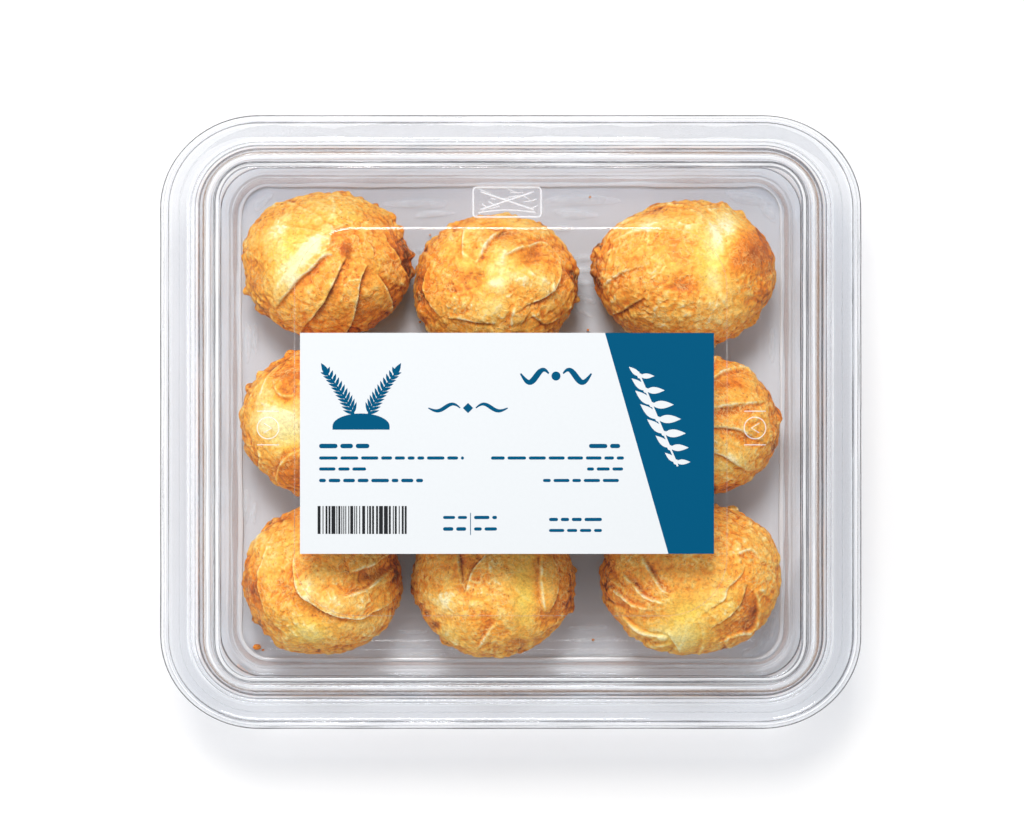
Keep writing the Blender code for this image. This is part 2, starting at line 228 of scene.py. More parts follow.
# Lumps, hollows and tones: (x, y, half length x, half length y in photograph pixels, turn in
# degrees, lift in mm, tone shift, yellow, smoothness).
# The tone shift is partly the crust's own pale and brown patches and partly painted shade in hollows and shaded folds.
SPOTS = {
    "bun_1": [
        (306, 262, 26, 9, 52, 0.8, 0.34, 0.0, 0.9), (320, 246, 14, 8, 40, 0.3, 0.24, 0.0, 0.8),
        (279, 236, 20, 12, 35, 0.3, 0.24, 0.0, 0.6), (287, 272, 14, 20, 0, 0.4, 0.16, 0.5, 0.5),
        (348, 255, 5, 6, 0, 1.4, -0.70, 0.0, 0.0), (346, 241, 14, 9, 0, 0.3, -0.22, 0.0, 0.2),
        (400, 250, 11, 12, 30, 0.4, -0.42, 0.0, 0.2), (409, 268, 6, 20, 0, 0.2, -0.45, 0.0, 0.0),
        (304, 288, 20, 5, 45, -0.3, -0.08, 0.0, 0.4), (250, 300, 16, 26, 30, 0.0, -0.12, 0.3, 0.0),
        (326, 312, 6, 16, -42, -0.3, -0.12, 0.2, 0.5), (374, 318, 14, 12, 0, 0.0, -0.16, 0.0, 0.4),
        (262, 268, 8, 14, 0, -0.3, -0.20, 0.3, 0.0), (296, 246, 16, 8, 30, 0.1, 0.05, 0.9, 0.6),
        (332, 205, 40, 16, 0, 0.3, 0.08, 0.1, 0.3), (266, 225, 14, 14, 0, 0.0, -0.08, 0.0, 0.0),
    ],
    "bun_2": [
        (529, 261, 18, 8, 20, -1.5, -0.26, 0.25, 0.4), (537, 252, 7, 10, 0, -0.6, -0.12, 0.0, 0.4), (506, 232, 14, 5, -8, -0.8, -0.32, 0.1, 0.3),
        (494, 273, 9, 9, 0, -0.6, 0.10, 0.8, 0.4), (495, 286, 15, 6, 10, 0.5, 0.30, 0.25, 0.7),
        (494, 308, 13, 10, 0, 0.3, 0.22, 0.25, 0.6), (532, 284, 16, 9, -20, 0.5, 0.16, 0.2, 0.1), (470, 266, 10, 6, 0, 0.2, 0.16, 0.45, 0.3),
        (462, 287, 22, 10, 15, -0.5, -0.22, 0.1, 0.0), (478, 283, 8, 14, 30, -1.2, -0.2, 0.3, 0.0),
        (508, 262, 14, 18, 40, 0.8, 0.22, 0.15, 0.3), (544, 285, 10, 20, 30, 0.6, 0.12, 0.0, 0.0),
        (575, 262, 6, 26, 0, 0.0, -0.35, 0.0, 0.0), (420, 290, 8, 26, 0, 0.0, -0.28, 0.0, 0.0),
        (458, 240, 16, 10, 30, 0.3, 0.12, 0.1, 0.3), (520, 222, 26, 8, 0, 0.2, 0.16, 0.0, 0.5),
    ],
    "bun_3": [
        (724, 224, 17, 13, 20, -0.5, 0.34, 0.05, 0.8), (713, 245, 13, 14, 25, -0.8, 0.28, 0.15, 0.8),
        (706, 266, 12, 15, 0, -1.0, 0.12, 0.85, 0.7), (711, 288, 12, 12, 0, -0.9, 0.26, 0.25, 0.7),
        (724, 306, 12, 12, 0, -0.4, 0.12, 0.1, 0.2), (751, 254, 20, 19, 0, 1.1, -0.50, 0.0, 0.7),
        (731, 268, 10, 12, 0, 0.3, -0.20, 0.0, 0.5), (762, 292, 6, 6, 0, 0.2, -0.30, 0.0, 0.0),
        (699, 262, 9, 24, 0, 0.2, -0.04, 0.5, 0.5), (684, 288, 18, 9, 0, -0.4, -0.32, 0.05, 0.3),
        (630, 272, 34, 30, 0, 0.7, 0.0, 0.0, 0.0), (765, 300, 12, 26, 0, 0.3, -0.12, 0.0, 0.0),
        (648, 225, 24, 8, 8, 0.2, 0.26, 0.0, 0.6), (598, 275, 7, 30, 0, 0.0, -0.30, 0.0, 0.0),
        (625, 307, 16, 7, 20, -0.6, -0.22, 0.0, 0.2), (700, 320, 40, 12, 0, 0.1, 0.14, 0.0, 0.0),
        (670, 250, 20, 14, 0, 0.1, -0.14, 0.1, 0.3),
    ],
    "bun_4": [
        (280, 418, 26, 14, 10, 0.3, 0.42, 0.35, 0.95), (293, 438, 18, 14, 0, -0.8, 0.30, 0.9, 0.7),
        (293, 385, 14, 20, 0, 0.6, -0.34, 0.0, 0.0), (296, 470, 14, 22, 0, 0.6, -0.34, 0.0, 0.0),
        (242, 430, 6, 40, 0, 0.0, -0.2, 0.0, 0.0), (270, 395, 10, 18, 30, 0.0, 0.18, 0.3, 0.3),
        (340, 420, 30, 20, 0, 0.2, 0.1, 0.3, 0.4),
    ],
    "bun_5": [(510, 430, 20, 16, 0, 0.5, 0.2, 0.3, 0.5), (480, 400, 16, 12, 30, 0.4, -0.15, 0.0, 0.0)],
    "bun_6": [
        (722, 384, 16, 5, 10, -0.8, -0.25, 0.0, 0.0), (724, 412, 18, 5, 5, -0.9, -0.25, 0.0, 0.0),
        (735, 437, 18, 5, -15, -0.7, -0.22, 0.0, 0.0), (772, 400, 8, 20, 0, 0.2, -0.25, 0.1, 0.0),
        (728, 455, 18, 14, 0, 0.4, 0.22, 0.1, 0.3), (745, 372, 16, 10, 0, 0.2, 0.0, 0.1, 0.0),
        (776, 450, 8, 24, 0, 0.2, -0.28, 0.0, 0.0), (725, 490, 24, 8, 0, 0.0, -0.3, 0.0, 0.0),
    ],
    "bun_7": [
        (313, 583, 12, 22, -35, 0.8, 0.20, 0.05, 0.5), (338, 598, 20, 7, -18, 0.4, 0.10, 0.1, 0.3),
        (310, 606, 24, 6, -35, -0.9, -0.24, 0.35, 0.4), (372, 574, 20, 5, 22, -0.9, -0.30, 0.0, 0.0),
        (254, 592, 12, 26, 0, 0.1, -0.26, 0.0, 0.0), (275, 562, 14, 20, 0, 0.1, 0.08, 0.2, 0.0),
        (330, 552, 26, 12, 0, 0.3, -0.12, 0.0, 0.0), (305, 628, 22, 14, -20, 0.1, 0.08, 0.45, 0.1),
        (360, 622, 26, 7, 5, 0.3, 0.20, 0.1, 0.3), (282, 608, 10, 16, 0, 0.2, -0.14, 0.0, 0.0),
        (396, 570, 6, 20, 0, 0.0, -0.35, 0.0, 0.0),
        (262, 545, 10, 10, 0, 0.8, 0.10, 0.0, 0.0), (258, 570, 8, 9, 0, 0.7, 0.06, 0.0, 0.0),
        (260, 588, 7, 7, 0, 0.5, -0.34, 0.0, 0.0), (247, 562, 5, 5, 0, 0.3, -0.30, 0.0, 0.0),
        (262, 623, 5, 5, 0, 0.2, -0.34, 0.0, 0.0), (279, 612, 13, 10, 0, 0.7, -0.04, 0.3, 0.2),
        (288, 585, 7, 14, 20, -0.5, -0.20, 0.0, 0.0), (315, 628, 14, 12, 0, 0.4, 0.05, 0.7, 0.4),
    ],
    "bun_8": [
        (526, 590, 13, 34, 0, -1.0, 0.04, 1.0, 0.85), (548, 582, 5, 26, 0, 0.5, 0.08, 0.0, 0.5),
        (436, 625, 5, 4, 0, -0.3, -0.55, 0.0, 0.0), (424, 613, 4, 4, 0, -0.2, -0.40, 0.0, 0.0),
        (447, 600, 9, 9, 0, 0.5, 0.26, 0.1, 0.2), (428, 596, 7, 7, 0, 0.4, 0.20, 0.0, 0.1),
        (450, 630, 14, 9, 15, 0.3, 0.14, 0.3, 0.3), (456, 654, 12, 5, -20, 0.2, -0.30, 0.0, 0.0),
        (520, 640, 20, 8, 0, 0.2, -0.06, 0.2, 0.0), (486, 612, 10, 6, 0, -0.3, -0.20, 0.0, 0.0), (461, 575, 6, 18, 0, -0.9, -0.22, 0.0, 0.0),
        (478, 568, 8, 12, 30, -0.7, -0.24, 0.0, 0.0), (488, 600, 24, 20, 0, 0.5, -0.02, 0.15, 0.0),
        (548, 612, 14, 9, 30, -0.6, -0.30, 0.0, 0.0), (436, 560, 14, 18, 0, 0.2, -0.05, 0.0, 0.0),
        (449, 600, 14, 14, 0, 0.1, 0.14, 0.2, 0.0), (572, 590, 6, 30, 0, 0.0, -0.35, 0.0, 0.0),
        (455, 640, 18, 10, -30, 0.0, 0.05, 0.3, 0.0), (500, 560, 20, 16, 0, 0.2, 0.05, 0.1, 0.0),
    ],
    "bun_9": [
        (684, 608, 24, 14, 15, -1.0, 0.02, 0.90, 0.7), (682, 634, 24, 16, 0, -0.3, 0.18, 0.85, 0.8),
        (742, 602, 7, 16, 20, -0.5, -0.30, 0.0, 0.4), (728, 626, 20, 5, 25, -0.5, -0.24, 0.0, 0.3),
        (752, 611, 5, 8, 0, -0.3, -0.34, 0.0, 0.0), (746, 625, 8, 5, 10, -0.3, -0.26, 0.0, 0.0),
        (628, 586, 12, 5, -45, -0.5, -0.12, 0.0, 0.3), (645, 570, 12, 6, -50, -0.4, -0.12, 0.0, 0.3),
        (622, 602, 12, 5, -20, -0.5, -0.16, 0.0, 0.3), (606, 585, 6, 18, 0, 0.0, -0.4, 0.0, 0.0),
        (650, 628, 26, 7, -20, 0.5, 0.20, 0.2, 0.4), (656, 650, 26, 7, -12, 0.1, -0.08, 0.5, 0.2),
        (712, 600, 20, 18, 30, 0.5, 0.10, 0.2, 0.2), (768, 560, 12, 30, 20, 0.2, 0.02, 0.1, 0.0),
        (745, 652, 22, 10, 30, 0.0, -0.22, 0.0, 0.0), (700, 565, 30, 14, 0, 0.3, -0.04, 0.1, 0.0),
    ],
}


def outline(theta, seed):
    r = np.ones_like(theta)
    for k, amp in ((2, 0.008), (3, 0.010), (4, 0.007), (5, 0.006), (7, 0.005)):
        r = r + amp * np.cos(k * theta + seed * (0.7 + 0.31 * k))
    return r


def spline(points, steps=10):
    """A smooth curve through a few points (Catmull-Rom)."""
    p = [np.array(q, float) for q in points]
    if len(p) == 2:
        p.insert(1, (p[0] + p[1]) / 2)
    p = [2 * p[0] - p[1]] + p + [2 * p[-1] - p[-2]]
    out = []
    for i in range(1, len(p) - 2):
        for k in range(steps):
            t = k / steps
            a, b, c, d = p[i - 1], p[i], p[i + 1], p[i + 2]
            out.append(0.5 * (2 * b + (c - a) * t + (2 * a - 5 * b + 4 * c - d) * t * t + (3 * b - a - 3 * c + d) * t ** 3))
    out.append(p[-2])
    return np.array(out)


def along(points_mm, x, y):
    """Signed distance to a curve (left side positive) and how far along it, 0..1."""
    c = spline(points_mm)
    best = np.full(len(x), 1e9)
    side = np.zeros(len(x))
    run = np.zeros(len(x))
    n = len(c) - 1
    for i in range(n):
        ax, ay = c[i]
        dx, dy = c[i + 1] - c[i]
        length2 = dx * dx + dy * dy + 1e-12
        t = np.clip(((x - ax) * dx + (y - ay) * dy) / length2, 0, 1)
        ox, oy = x - (ax + t * dx), y - (ay + t * dy)
        d = ox * ox + oy * oy
        nearer = d < best
        best = np.where(nearer, d, best)
        side = np.where(nearer, dx * oy - dy * ox, side)
        run = np.where(nearer, (i + t) / n, run)
    return np.sign(side) * np.sqrt(best), run


def ball(subdivisions):
    bm = bmesh.new()
    bmesh.ops.create_icosphere(bm, subdivisions=subdivisions, radius=1.0)
    v = np.array([p.co[:] for p in bm.verts])
    f = np.array([[q.index for q in face.verts] for face in bm.faces])
    e = np.array([[q.index for q in edge.verts] for edge in bm.edges])
    bm.free()
    return v / np.linalg.norm(v, axis=1, keepdims=True), f, e


def vertex_normals(v, f):
    n = np.cross(v[f[:, 1]] - v[f[:, 0]], v[f[:, 2]] - v[f[:, 0]])
    out = np.zeros_like(v)
    for k in range(3):
        for c in range(3):
            out[:, c] += np.bincount(f[:, k], weights=n[:, c], minlength=len(v))
    return out / np.maximum(np.linalg.norm(out, axis=1, keepdims=True), 1e-12)


def relax(values, e, rounds):
    n = len(values)
    deg = np.bincount(e.ravel(), minlength=n)
    for _ in range(rounds):
        s = np.bincount(e[:, 0], weights=values[e[:, 1]], minlength=n) + np.bincount(e[:, 1], weights=values[e[:, 0]], minlength=n)
        values = 0.4 * values + 0.6 * s / deg
    return values


RAMP_AT = np.array([0.00, 0.16, 0.32, 0.48, 0.66, 0.84, 1.00])
RAMP = np.array([lin(112, 52, 16), lin(190, 92, 28), lin(236, 132, 34), lin(252, 164, 54),
                 lin(255, 189, 82), lin(255, 216, 128), lin(255, 240, 196)])
YELLOW_AT = np.array([0.0, 0.35, 0.65, 1.0])
YELLOW = np.array([lin(186, 108, 26), lin(238, 172, 56), lin(252, 210, 88), lin(254, 236, 156)])


def crust(name, spec, sphere):
    dirs, faces, edges = sphere
    seed = spec["seed"]
    noise = Noise(seed)
    (bx, by), (w, d, h) = spec["at"], spec["size"]
    turn = np.linspace(0, 2 * math.pi, 720, endpoint=False)
    ring = outline(turn, seed)
    xs, ys = ring * np.cos(turn), ring * np.sin(turn)
    a, b = w / (xs.max() - xs.min()), d / (ys.max() - ys.min())
    bx -= a * (xs.max() + xs.min()) / 2
    by -= b * (ys.max() + ys.min()) / 2

    phi = np.arccos(np.clip(dirs[:, 2], -1, 1)) / math.pi
    theta = np.arctan2(dirs[:, 1], dirs[:, 0])
    R = outline(theta, seed)
    belly_at = 0.63
    up = phi < belly_at
    alpha = np.clip(phi / belly_at, 0, 1) * math.pi / 2
    q = np.sin(alpha) ** 0.87
    z = BELLY + (1 - BELLY) * np.cos(alpha) ** 1.1
    beta = np.clip((phi - belly_at) / (1 - belly_at), 0, 1)
    gamma = np.clip(beta / 0.5, 0, 1) * math.pi / 2
    q_low = np.where(beta < 0.5, FOOT + (1 - FOOT) * np.cos(gamma) ** 0.8, FOOT * (1 - (beta - 0.5) / 0.5))
    z_low = np.where(beta < 0.5, BELLY * (1 - np.sin(gamma) ** 1.15), 0.0)
    q = np.where(up, q, q_low)
    z = np.where(up, z, z_low)
    pos = np.stack([a * R * q * np.cos(theta), b * R * q * np.sin(theta), h * z], axis=1)
    nrm = vertex_normals(pos, faces)
    x, y = pos[:, 0], pos[:, 1]
    top = smooth(0.30, 0.60, z) * up
    side = 1.0 - smooth(0.45, 0.85, z)
    under = smooth(0.30, 0.02, z) * (~up)
    flat = smooth(0.06, 0.0, z) * (~up)

    # whorl of piped folds round the eye, stronger towards the sides
    ex, ey = spec["eye"][0] * a, spec["eye"][1] * b
    ang = np.arctan2((y - ey) / b, (x - ex) / a)
    reach = np.hypot((x - ex) / a, (y - ey) / b)
    phase = spec["folds"] * (ang - spec["twist"] * (np.minimum(reach, 1.2) - 1.0)) / (2 * math.pi) + 0.1 * seed
    phase = phase + 0.22 * noise.grad(pos / 21.0)
    u = phase - np.floor(phase)
    lap = np.where(u < 0.16, np.sin(u / 0.16 * math.pi / 2), np.cos((u - 0.16) / 0.84 * math.pi / 2) ** 0.8)
    worn = smooth(-0.25, 0.35, noise.grad(pos / 17.0 + 31.0))
    whorl = (0.25 + 0.75 * worn) * (0.35 + 0.65 * side) * smooth(0.10, 0.45, reach) * (1 - 0.85 * under) * (1 - flat)
    lift = spec["deep"] * 0.42 * (lap - 0.45) * whorl
    # painted highlight along the lip of each whorl fold
    lip_highlight = np.exp(-((u - 0.10) / 0.06) ** 2) * whorl
    # painted shade in the groove between whorl folds
    groove_shade = (np.exp(-((u - 0.985) / 0.07) ** 2) + np.exp(-((u + 0.015) / 0.07) ** 2)) * whorl

    # the folds, lumps and hollows that show
    calm = np.zeros(len(x))
    tone = np.zeros(len(x))
    yellow = np.zeros(len(x))
    cx, cy = bx, by
    for px, py, rx, ry, rot, hh, tt, yy, ss in SPOTS[name]:
        mx, my = at(px, py)
        c, s = math.cos(math.radians(rot)), math.sin(math.radians(rot))
        dx, dy = x + cx - mx, y + cy - my
        lx, ly = (dx * c + dy * s) / (rx * PX), (-dx * s + dy * c) / (ry * PX)
        wob = 1.0 + 0.35 * noise.grad(pos / 5.0 + mx)
        g = np.exp(-(lx * lx + ly * ly) * 0.9 * wob) * top
        lift += 1.4 * hh * g
        # tone shift: partly the crust's own patches, partly painted shade in hollows
        tone += tt * (1.35 if tt > 0 else 1.05) * g
        yellow += yy * g
        calm = np.maximum(calm, ss * np.clip(g * 1.4, 0, 1))
    wander = noise.grad(pos / 7.0 + 9.0)
    for height, pts in FOLDS[name]:
        line = [tuple(np.array(at(px, py)) - (cx, cy)) for px, py in pts]
        dist, run = along(line, x + 0.5 * wander, y + 0.5 * noise.grad(pos / 6.0 + 70.0))
        if height < 0:
            dist = -dist
        hgt = abs(height)
        fade = np.clip(np.sin(np.clip(run, 0.0, 1.0) * math.pi), 0, 1) ** 0.45 * top
        body = smooth(-0.35, 0.20, dist) * np.exp(-np.clip(dist, 0, None) / 4.2)
        dip = smooth(0.10, -0.55, dist) * np.exp(-(np.clip(-dist - 0.3, 0, None) / 2.1) ** 1.4)
        lift += fade * (0.52 * hgt * body - 0.28 * hgt * dip)
        # painted highlight along the lip of each fold
        lip_highlight = np.maximum(lip_highlight, fade * np.exp(-((dist - 0.22) / 0.30) ** 2))
        # painted shade in the groove below each fold
        groove_shade = np.maximum(groove_shade, fade * dip * min(hgt / 2.0, 1.15))
    calm = np.clip(calm, 0, 1)

    # crust: lumps, craters, curly web, fine grain
    rough = (1 - 0.80 * calm) * (1 - 0.5 * flat)
    broad = noise.fbm(pos, 15.0, 2)
    lumps = noise.fbm(pos + 40.0, 5.2, 3)
    f1, f2 = noise.cells(pos + 2.0 * np.stack([wander, broad, lumps], axis=1), 4.2)
    bulge = np.clip(f2 - f1, 0, 0.6) / 0.6
    web_a = noise.web(pos, 3.3, 5.0)
    web_b = noise.web(pos + 90.0, 2.0, 5.0)
    patchy = smooth(-0.3, 0.5, noise.grad(pos / 9.0 + 55.0))
    grain = noise.fbm(pos + 12.0, 1.5, 2)
    spiky = np.clip(noise.fbm(pos + 200.0, 3.1, 2), 0, None)
    belly_band = np.exp(-((z - BELLY) / 0.22) ** 2)
    lift += 0.55 * broad
    lift += rough * (0.64 * lumps + 0.52 * (bulge - 0.5) * (0.6 + 0.7 * side))
    lift += rough * (0.24 * web_a * (0.3 + 0.7 * patchy) + 0.14 * web_b * patchy + 0.12 * grain)
    knob = smooth(0.05, 0.60, noise.grad((pos + 260.0) / 5.4)) * smooth(-0.15, 0.35, noise.grad((pos + 275.0) / 15.0))
    lift += rough * belly_band * (1.7 * knob + 0.5 * np.clip(spiky, 0, 0.30) * (0.2 + patchy)
                                  + 0.35 * patchy * noise.grad((pos + 290.0) / 2.4))
    lift -= 0.25 * belly_band
    lift = lift * (1 - 0.85 * flat)
    out = pos + nrm * lift[:, None]
    out[:, 2] = np.maximum(out[:, 2], 0.0)

    # colour: raised crust painted paler and hollows painted darker, a painted highlight and painted shade; random
    # patches bake dark or stay pale
    proud = lift - relax(lift, edges, 14)
    fine = lift - relax(lift, edges, 3)
    # tone rises with the lumps and where the crust stands proud: painted highlight on the raised crust, painted shade
    # in the hollows
    t = 0.56 + 0.13 * broad + 0.10 * lumps + 0.20 * np.clip(proud, -1, 1)
    # web lines painted paler and fine hollows darker: partly the crust's own pale strands, partly painted highlight and
    # painted shade
    t += rough * (0.22 * web_a * (0.4 + 0.6 * patchy) + 0.13 * web_b * (0.2 + 0.8 * patchy) + 0.45 * np.clip(fine, -0.3, 0.3))
    # painted shade in the creases between lumps
    t -= rough * 0.17 * smooth(0.30, 0.02, bulge) * (0.5 + 0.5 * patchy)
    # painted highlight on the fold lips
    t += 0.32 * lip_highlight * (0.75 + 0.8 * noise.grad(pos / 2.6 + 610.0))
    # painted shade in the fold grooves
    t -= 0.27 * groove_shade * (1.0 + 0.7 * noise.grad(pos / 4.0 + 640.0))
    t += rough * (0.15 * noise.fbm(pos + 500.0, 4.2, 2) + 0.08 * noise.grad(pos / 1.9 + 520.0))
    t += tone
    # painted shade on the crust that turns away from up
    face_up = np.clip(vertex_normals(out, faces)[:, 2], -1, 1)
    t -= 0.10 * (1 - smooth(0.1, 0.7, face_up))
    bake = smooth(0.05, 0.55, noise.fbm(pos + 300.0, 7.0, 3))
    t -= 0.20 * bake * (1 - calm) * (0.35 + 0.65 * side)
    t -= belly_band * (0.24 * smooth(0.1, 0.6, spiky * 1.6) + 0.26 * knob)
    pits = smooth(0.50, 0.72, noise.grad(pos / 0.95 + 5.0)) * smooth(0.0, 0.35, noise.grad(pos / 6.5 + 140.0))
    t -= 0.50 * pits * (1 - flat)
    t = np.where(up, t, t - 0.18 * under)
    t = np.where(t < 0.34, 0.34 - (0.34 - t) * (1 - 0.45 * smooth(0.50, 0.72, z)), t)
    t = t * (1 - 0.75 * flat) + 0.75 * flat * (0.24 + 0.10 * lumps)
    yellow = np.clip(yellow + 0.35 * smooth(0.1, 0.6, noise.fbm(pos + 410.0, 11.0, 2)) * (1 - side), 0, 1)
    t = np.clip(t, 0.0, 1.0)
    warm = np.stack([np.interp(t, RAMP_AT, RAMP[:, k]) for k in range(3)], axis=1)
    gold = np.stack([np.interp(t, YELLOW_AT, YELLOW[:, k]) for k in range(3)], axis=1)
    colour = warm * (1 - yellow[:, None]) + gold * yellow[:, None]
    out = out + np.array([bx, by, BUN_FLOOR])
    return out, colour, np.clip(rough, 0, 1)


def mesh_from_arrays(name, verts, faces, mat, smooth_shade=True):
    mesh = bpy.data.meshes.new(name)
    mesh.vertices.add(len(verts))
    mesh.vertices.foreach_set("co", (np.asarray(verts) * MM).astype(np.float32).ravel())
    faces = np.asarray(faces)
    k = faces.shape[1]
    mesh.loops.add(len(faces) * k)
    mesh.loops.foreach_set("vertex_index", faces.astype(np.int32).ravel())
    mesh.polygons.add(len(faces))
    mesh.polygons.foreach_set("loop_start", np.arange(0, len(faces) * k, k, dtype=np.int32))
    mesh.update(calc_edges=True)
    mesh.validate()
    if smooth_shade:
        mesh.shade_smooth()
    mesh.materials.append(mat)
    obj = bpy.data.objects.new(name, mesh)
    scene.collection.objects.link(obj)
    return obj


# ------------------------------------------------------------------ materials
def new_material(name):
    mat = bpy.data.materials.new(name)
    mat.use_nodes = True
    nt = mat.node_tree
    return mat, nt, nt.nodes["Principled BSDF"]


def crust_material():
    mat, nt, shader = new_material("baked_crust")
    n, link = nt.nodes, nt.links.new

    def math_node(op, a, b=None, c=None):
        m = n.new("ShaderNodeMath")
        m.operation = op
        for k, v in enumerate((a, b, c)):
            if v is None:
                continue
            if isinstance(v, (int, float)):
                m.inputs[k].default_value = v
            else:
                link(v, m.inputs[k])
        return m.outputs[0]

    def ramped(value, lo, hi, to_lo, to_hi):
        m = n.new("ShaderNodeMapRange")
        m.interpolation_type = "SMOOTHSTEP"
        link(value, m.inputs["Value"])
        m.inputs["From Min"].default_value = lo
        m.inputs["From Max"].default_value = hi
        m.inputs["To Min"].default_value = to_lo
        m.inputs["To Max"].default_value = to_hi
        return m.outputs["Result"]

    attr = n.new("ShaderNodeAttribute")
    attr.attribute_name = "crust"
    rough_here = attr.outputs["Alpha"]
    coord = n.new("ShaderNodeTexCoord")

    def noise_node(scale, detail, vector, rough=0.5):
        tex = n.new("ShaderNodeTexNoise")
        tex.inputs["Scale"].default_value = scale
        tex.inputs["Detail"].default_value = detail
        tex.inputs["Roughness"].default_value = rough
        link(vector, tex.inputs["Vector"])
        return tex

    # everything wanders a little with one coarse noise
    warp = noise_node(420.0, 0.0, coord.outputs["Object"])
    stray = n.new("ShaderNodeVectorMath")
    stray.operation = "MULTIPLY_ADD"
    link(warp.outputs["Color"], stray.inputs[0])
    stray.inputs[1].default_value = (0.0030, 0.0030, 0.0030)
    link(coord.outputs["Object"], stray.inputs[2])

    def strands(scale, width, offset):
        """Thin curly lines: where a wandering noise crosses its middle value."""
        place = n.new("ShaderNodeVectorMath")
        place.operation = "ADD"
        link(stray.outputs["Vector"], place.inputs[0])
        place.inputs[1].default_value = (offset, offset * 0.7, -offset)
        tex = noise_node(scale, 1.0, place.outputs["Vector"])
        off = math_node("ABSOLUTE", math_node("SUBTRACT", tex.outputs["Fac"], 0.5))
        return ramped(off, width * 0.3, width, 1.0, 0.0)

    strand_a = strands(300.0, 0.030, 0.013)
    strand_b = strands(470.0, 0.034, 0.031)
    dips = noise_node(480.0, 1.0, coord.outputs["Object"])
    dip = ramped(dips.outputs["Fac"], 0.50, 0.66, 0.0, 1.0)
    where = noise_node(130.0, 0.0, coord.outputs["Object"])
    dense = ramped(where.outputs["Fac"], 0.38, 0.58, 0.22, 1.0)
    # grain
    grain = noise_node(1100.0, 1.0, coord.outputs["Object"], 0.7)
    # scattered pits
    cell = n.new("ShaderNodeTexVoronoi")
    cell.feature = "F1"
    cell.inputs["Scale"].default_value = 760.0
    cell.inputs["Randomness"].default_value = 1.0
    link(stray.outputs["Vector"], cell.inputs["Vector"])
    chosen = n.new("ShaderNodeSeparateColor")
    link(cell.outputs["Color"], chosen.inputs["Color"])
    pit = math_node("MULTIPLY", ramped(cell.outputs["Distance"], 0.12, 0.34, 1.0, 0.0),
                    ramped(chosen.outputs["Red"], 0.76, 0.86, 0.0, 1.0))
    pit = math_node("MULTIPLY", pit, rough_here)
    lines = math_node("MAXIMUM", strand_a, math_node("MULTIPLY", strand_b, 0.8))
    lines = math_node("MULTIPLY", math_node("MULTIPLY", lines, dense), rough_here)
    dip_shade = math_node("MULTIPLY", math_node("MULTIPLY", dip, math_node("SUBTRACT", 1.0, lines)), rough_here)

    # strands painted paler, partly their own colour and partly painted highlight on the raised lines; dips painted
    # darker and more orange as painted shade
    paler = n.new("ShaderNodeMix")
    paler.data_type = "RGBA"
    paler.blend_type = "MIX"
    link(attr.outputs["Color"], paler.inputs["A"])
    paler.inputs["B"].default_value = (*lin(255, 218, 138), 1.0)
    link(math_node("MULTIPLY", lines, WEB_PALE), paler.inputs["Factor"])
    deeper = n.new("ShaderNodeMix")
    deeper.data_type = "RGBA"
    deeper.blend_type = "MULTIPLY"
    link(paler.outputs["Result"], deeper.inputs["A"])
    deeper.inputs["B"].default_value = (0.80, 0.56, 0.30, 1.0)
    link(math_node("MULTIPLY", dip_shade, WEB_DEEP), deeper.inputs["Factor"])
    pitted = n.new("ShaderNodeMix")
    pitted.data_type = "RGBA"
    pitted.blend_type = "MULTIPLY"
    link(deeper.outputs["Result"], pitted.inputs["A"])
    pitted.inputs["B"].default_value = (0.46, 0.26, 0.12, 1.0)
    link(math_node("MULTIPLY", pit, 0.72), pitted.inputs["Factor"])
    grained = n.new("ShaderNodeVectorMath")
    grained.operation = "SCALE"
    link(pitted.outputs["Result"], grained.inputs[0])
    link(ramped(grain.outputs["Fac"], 0.3, 0.7, 0.86, 1.10), grained.inputs["Scale"])
    link(grained.outputs["Vector"], shader.inputs["Base Color"])
    link(ramped(grain.outputs["Fac"], 0.3, 0.7, 0.50, 0.75), shader.inputs["Roughness"])

    height = math_node("MULTIPLY_ADD", math_node("MULTIPLY", strand_a, rough_here), 0.8,
                       math_node("MULTIPLY", grain.outputs["Fac"], 0.6))
    bump = n.new("ShaderNodeBump")
    bump.inputs["Strength"].default_value = 0.75
    bump.inputs["Distance"].default_value = 0.00025
    link(height, bump.inputs["Height"])
    link(bump.outputs["Normal"], shader.inputs["Normal"])
    shader.inputs["Specular IOR Level"].default_value = 0.30
    return mat


# how pale the strands are painted (partly painted highlight) and how dark the dips are painted (painted shade)
WEB_PALE, WEB_DEEP = 0.56, 0.46


def clear_material(name, tint, through):
    """Clear sheet that bends what is seen through it; light falls in through it with a small loss."""
    mat = bpy.data.materials.new(name)
    mat.use_nodes = True
    nt = mat.node_tree
    n = nt.nodes
    n.clear()
    out = n.new("ShaderNodeOutputMaterial")
    glass = n.new("ShaderNodeBsdfGlass")
    glass.inputs["Color"].default_value = (*tint, 1.0)
    glass.inputs["Roughness"].default_value = 0.0
    glass.inputs["IOR"].default_value = 1.5
    path = n.new("ShaderNodeLightPath")
    either = n.new("ShaderNodeMath")
    either.operation = "MAXIMUM"
    nt.links.new(path.outputs["Is Shadow Ray"], either.inputs[0])
    nt.links.new(path.outputs["Is Diffuse Ray"], either.inputs[1])
    light = n.new("ShaderNodeBsdfTransparent")
    light.inputs["Color"].default_value = (*through, 1.0)
    last = n.new("ShaderNodeMixShader")
    nt.links.new(either.outputs[0], last.inputs["Fac"])
    nt.links.new(glass.outputs["BSDF"], last.inputs[1])
    nt.links.new(light.outputs["BSDF"], last.inputs[2])
    nt.links.new(last.outputs["Shader"], out.inputs["Surface"])
    return mat


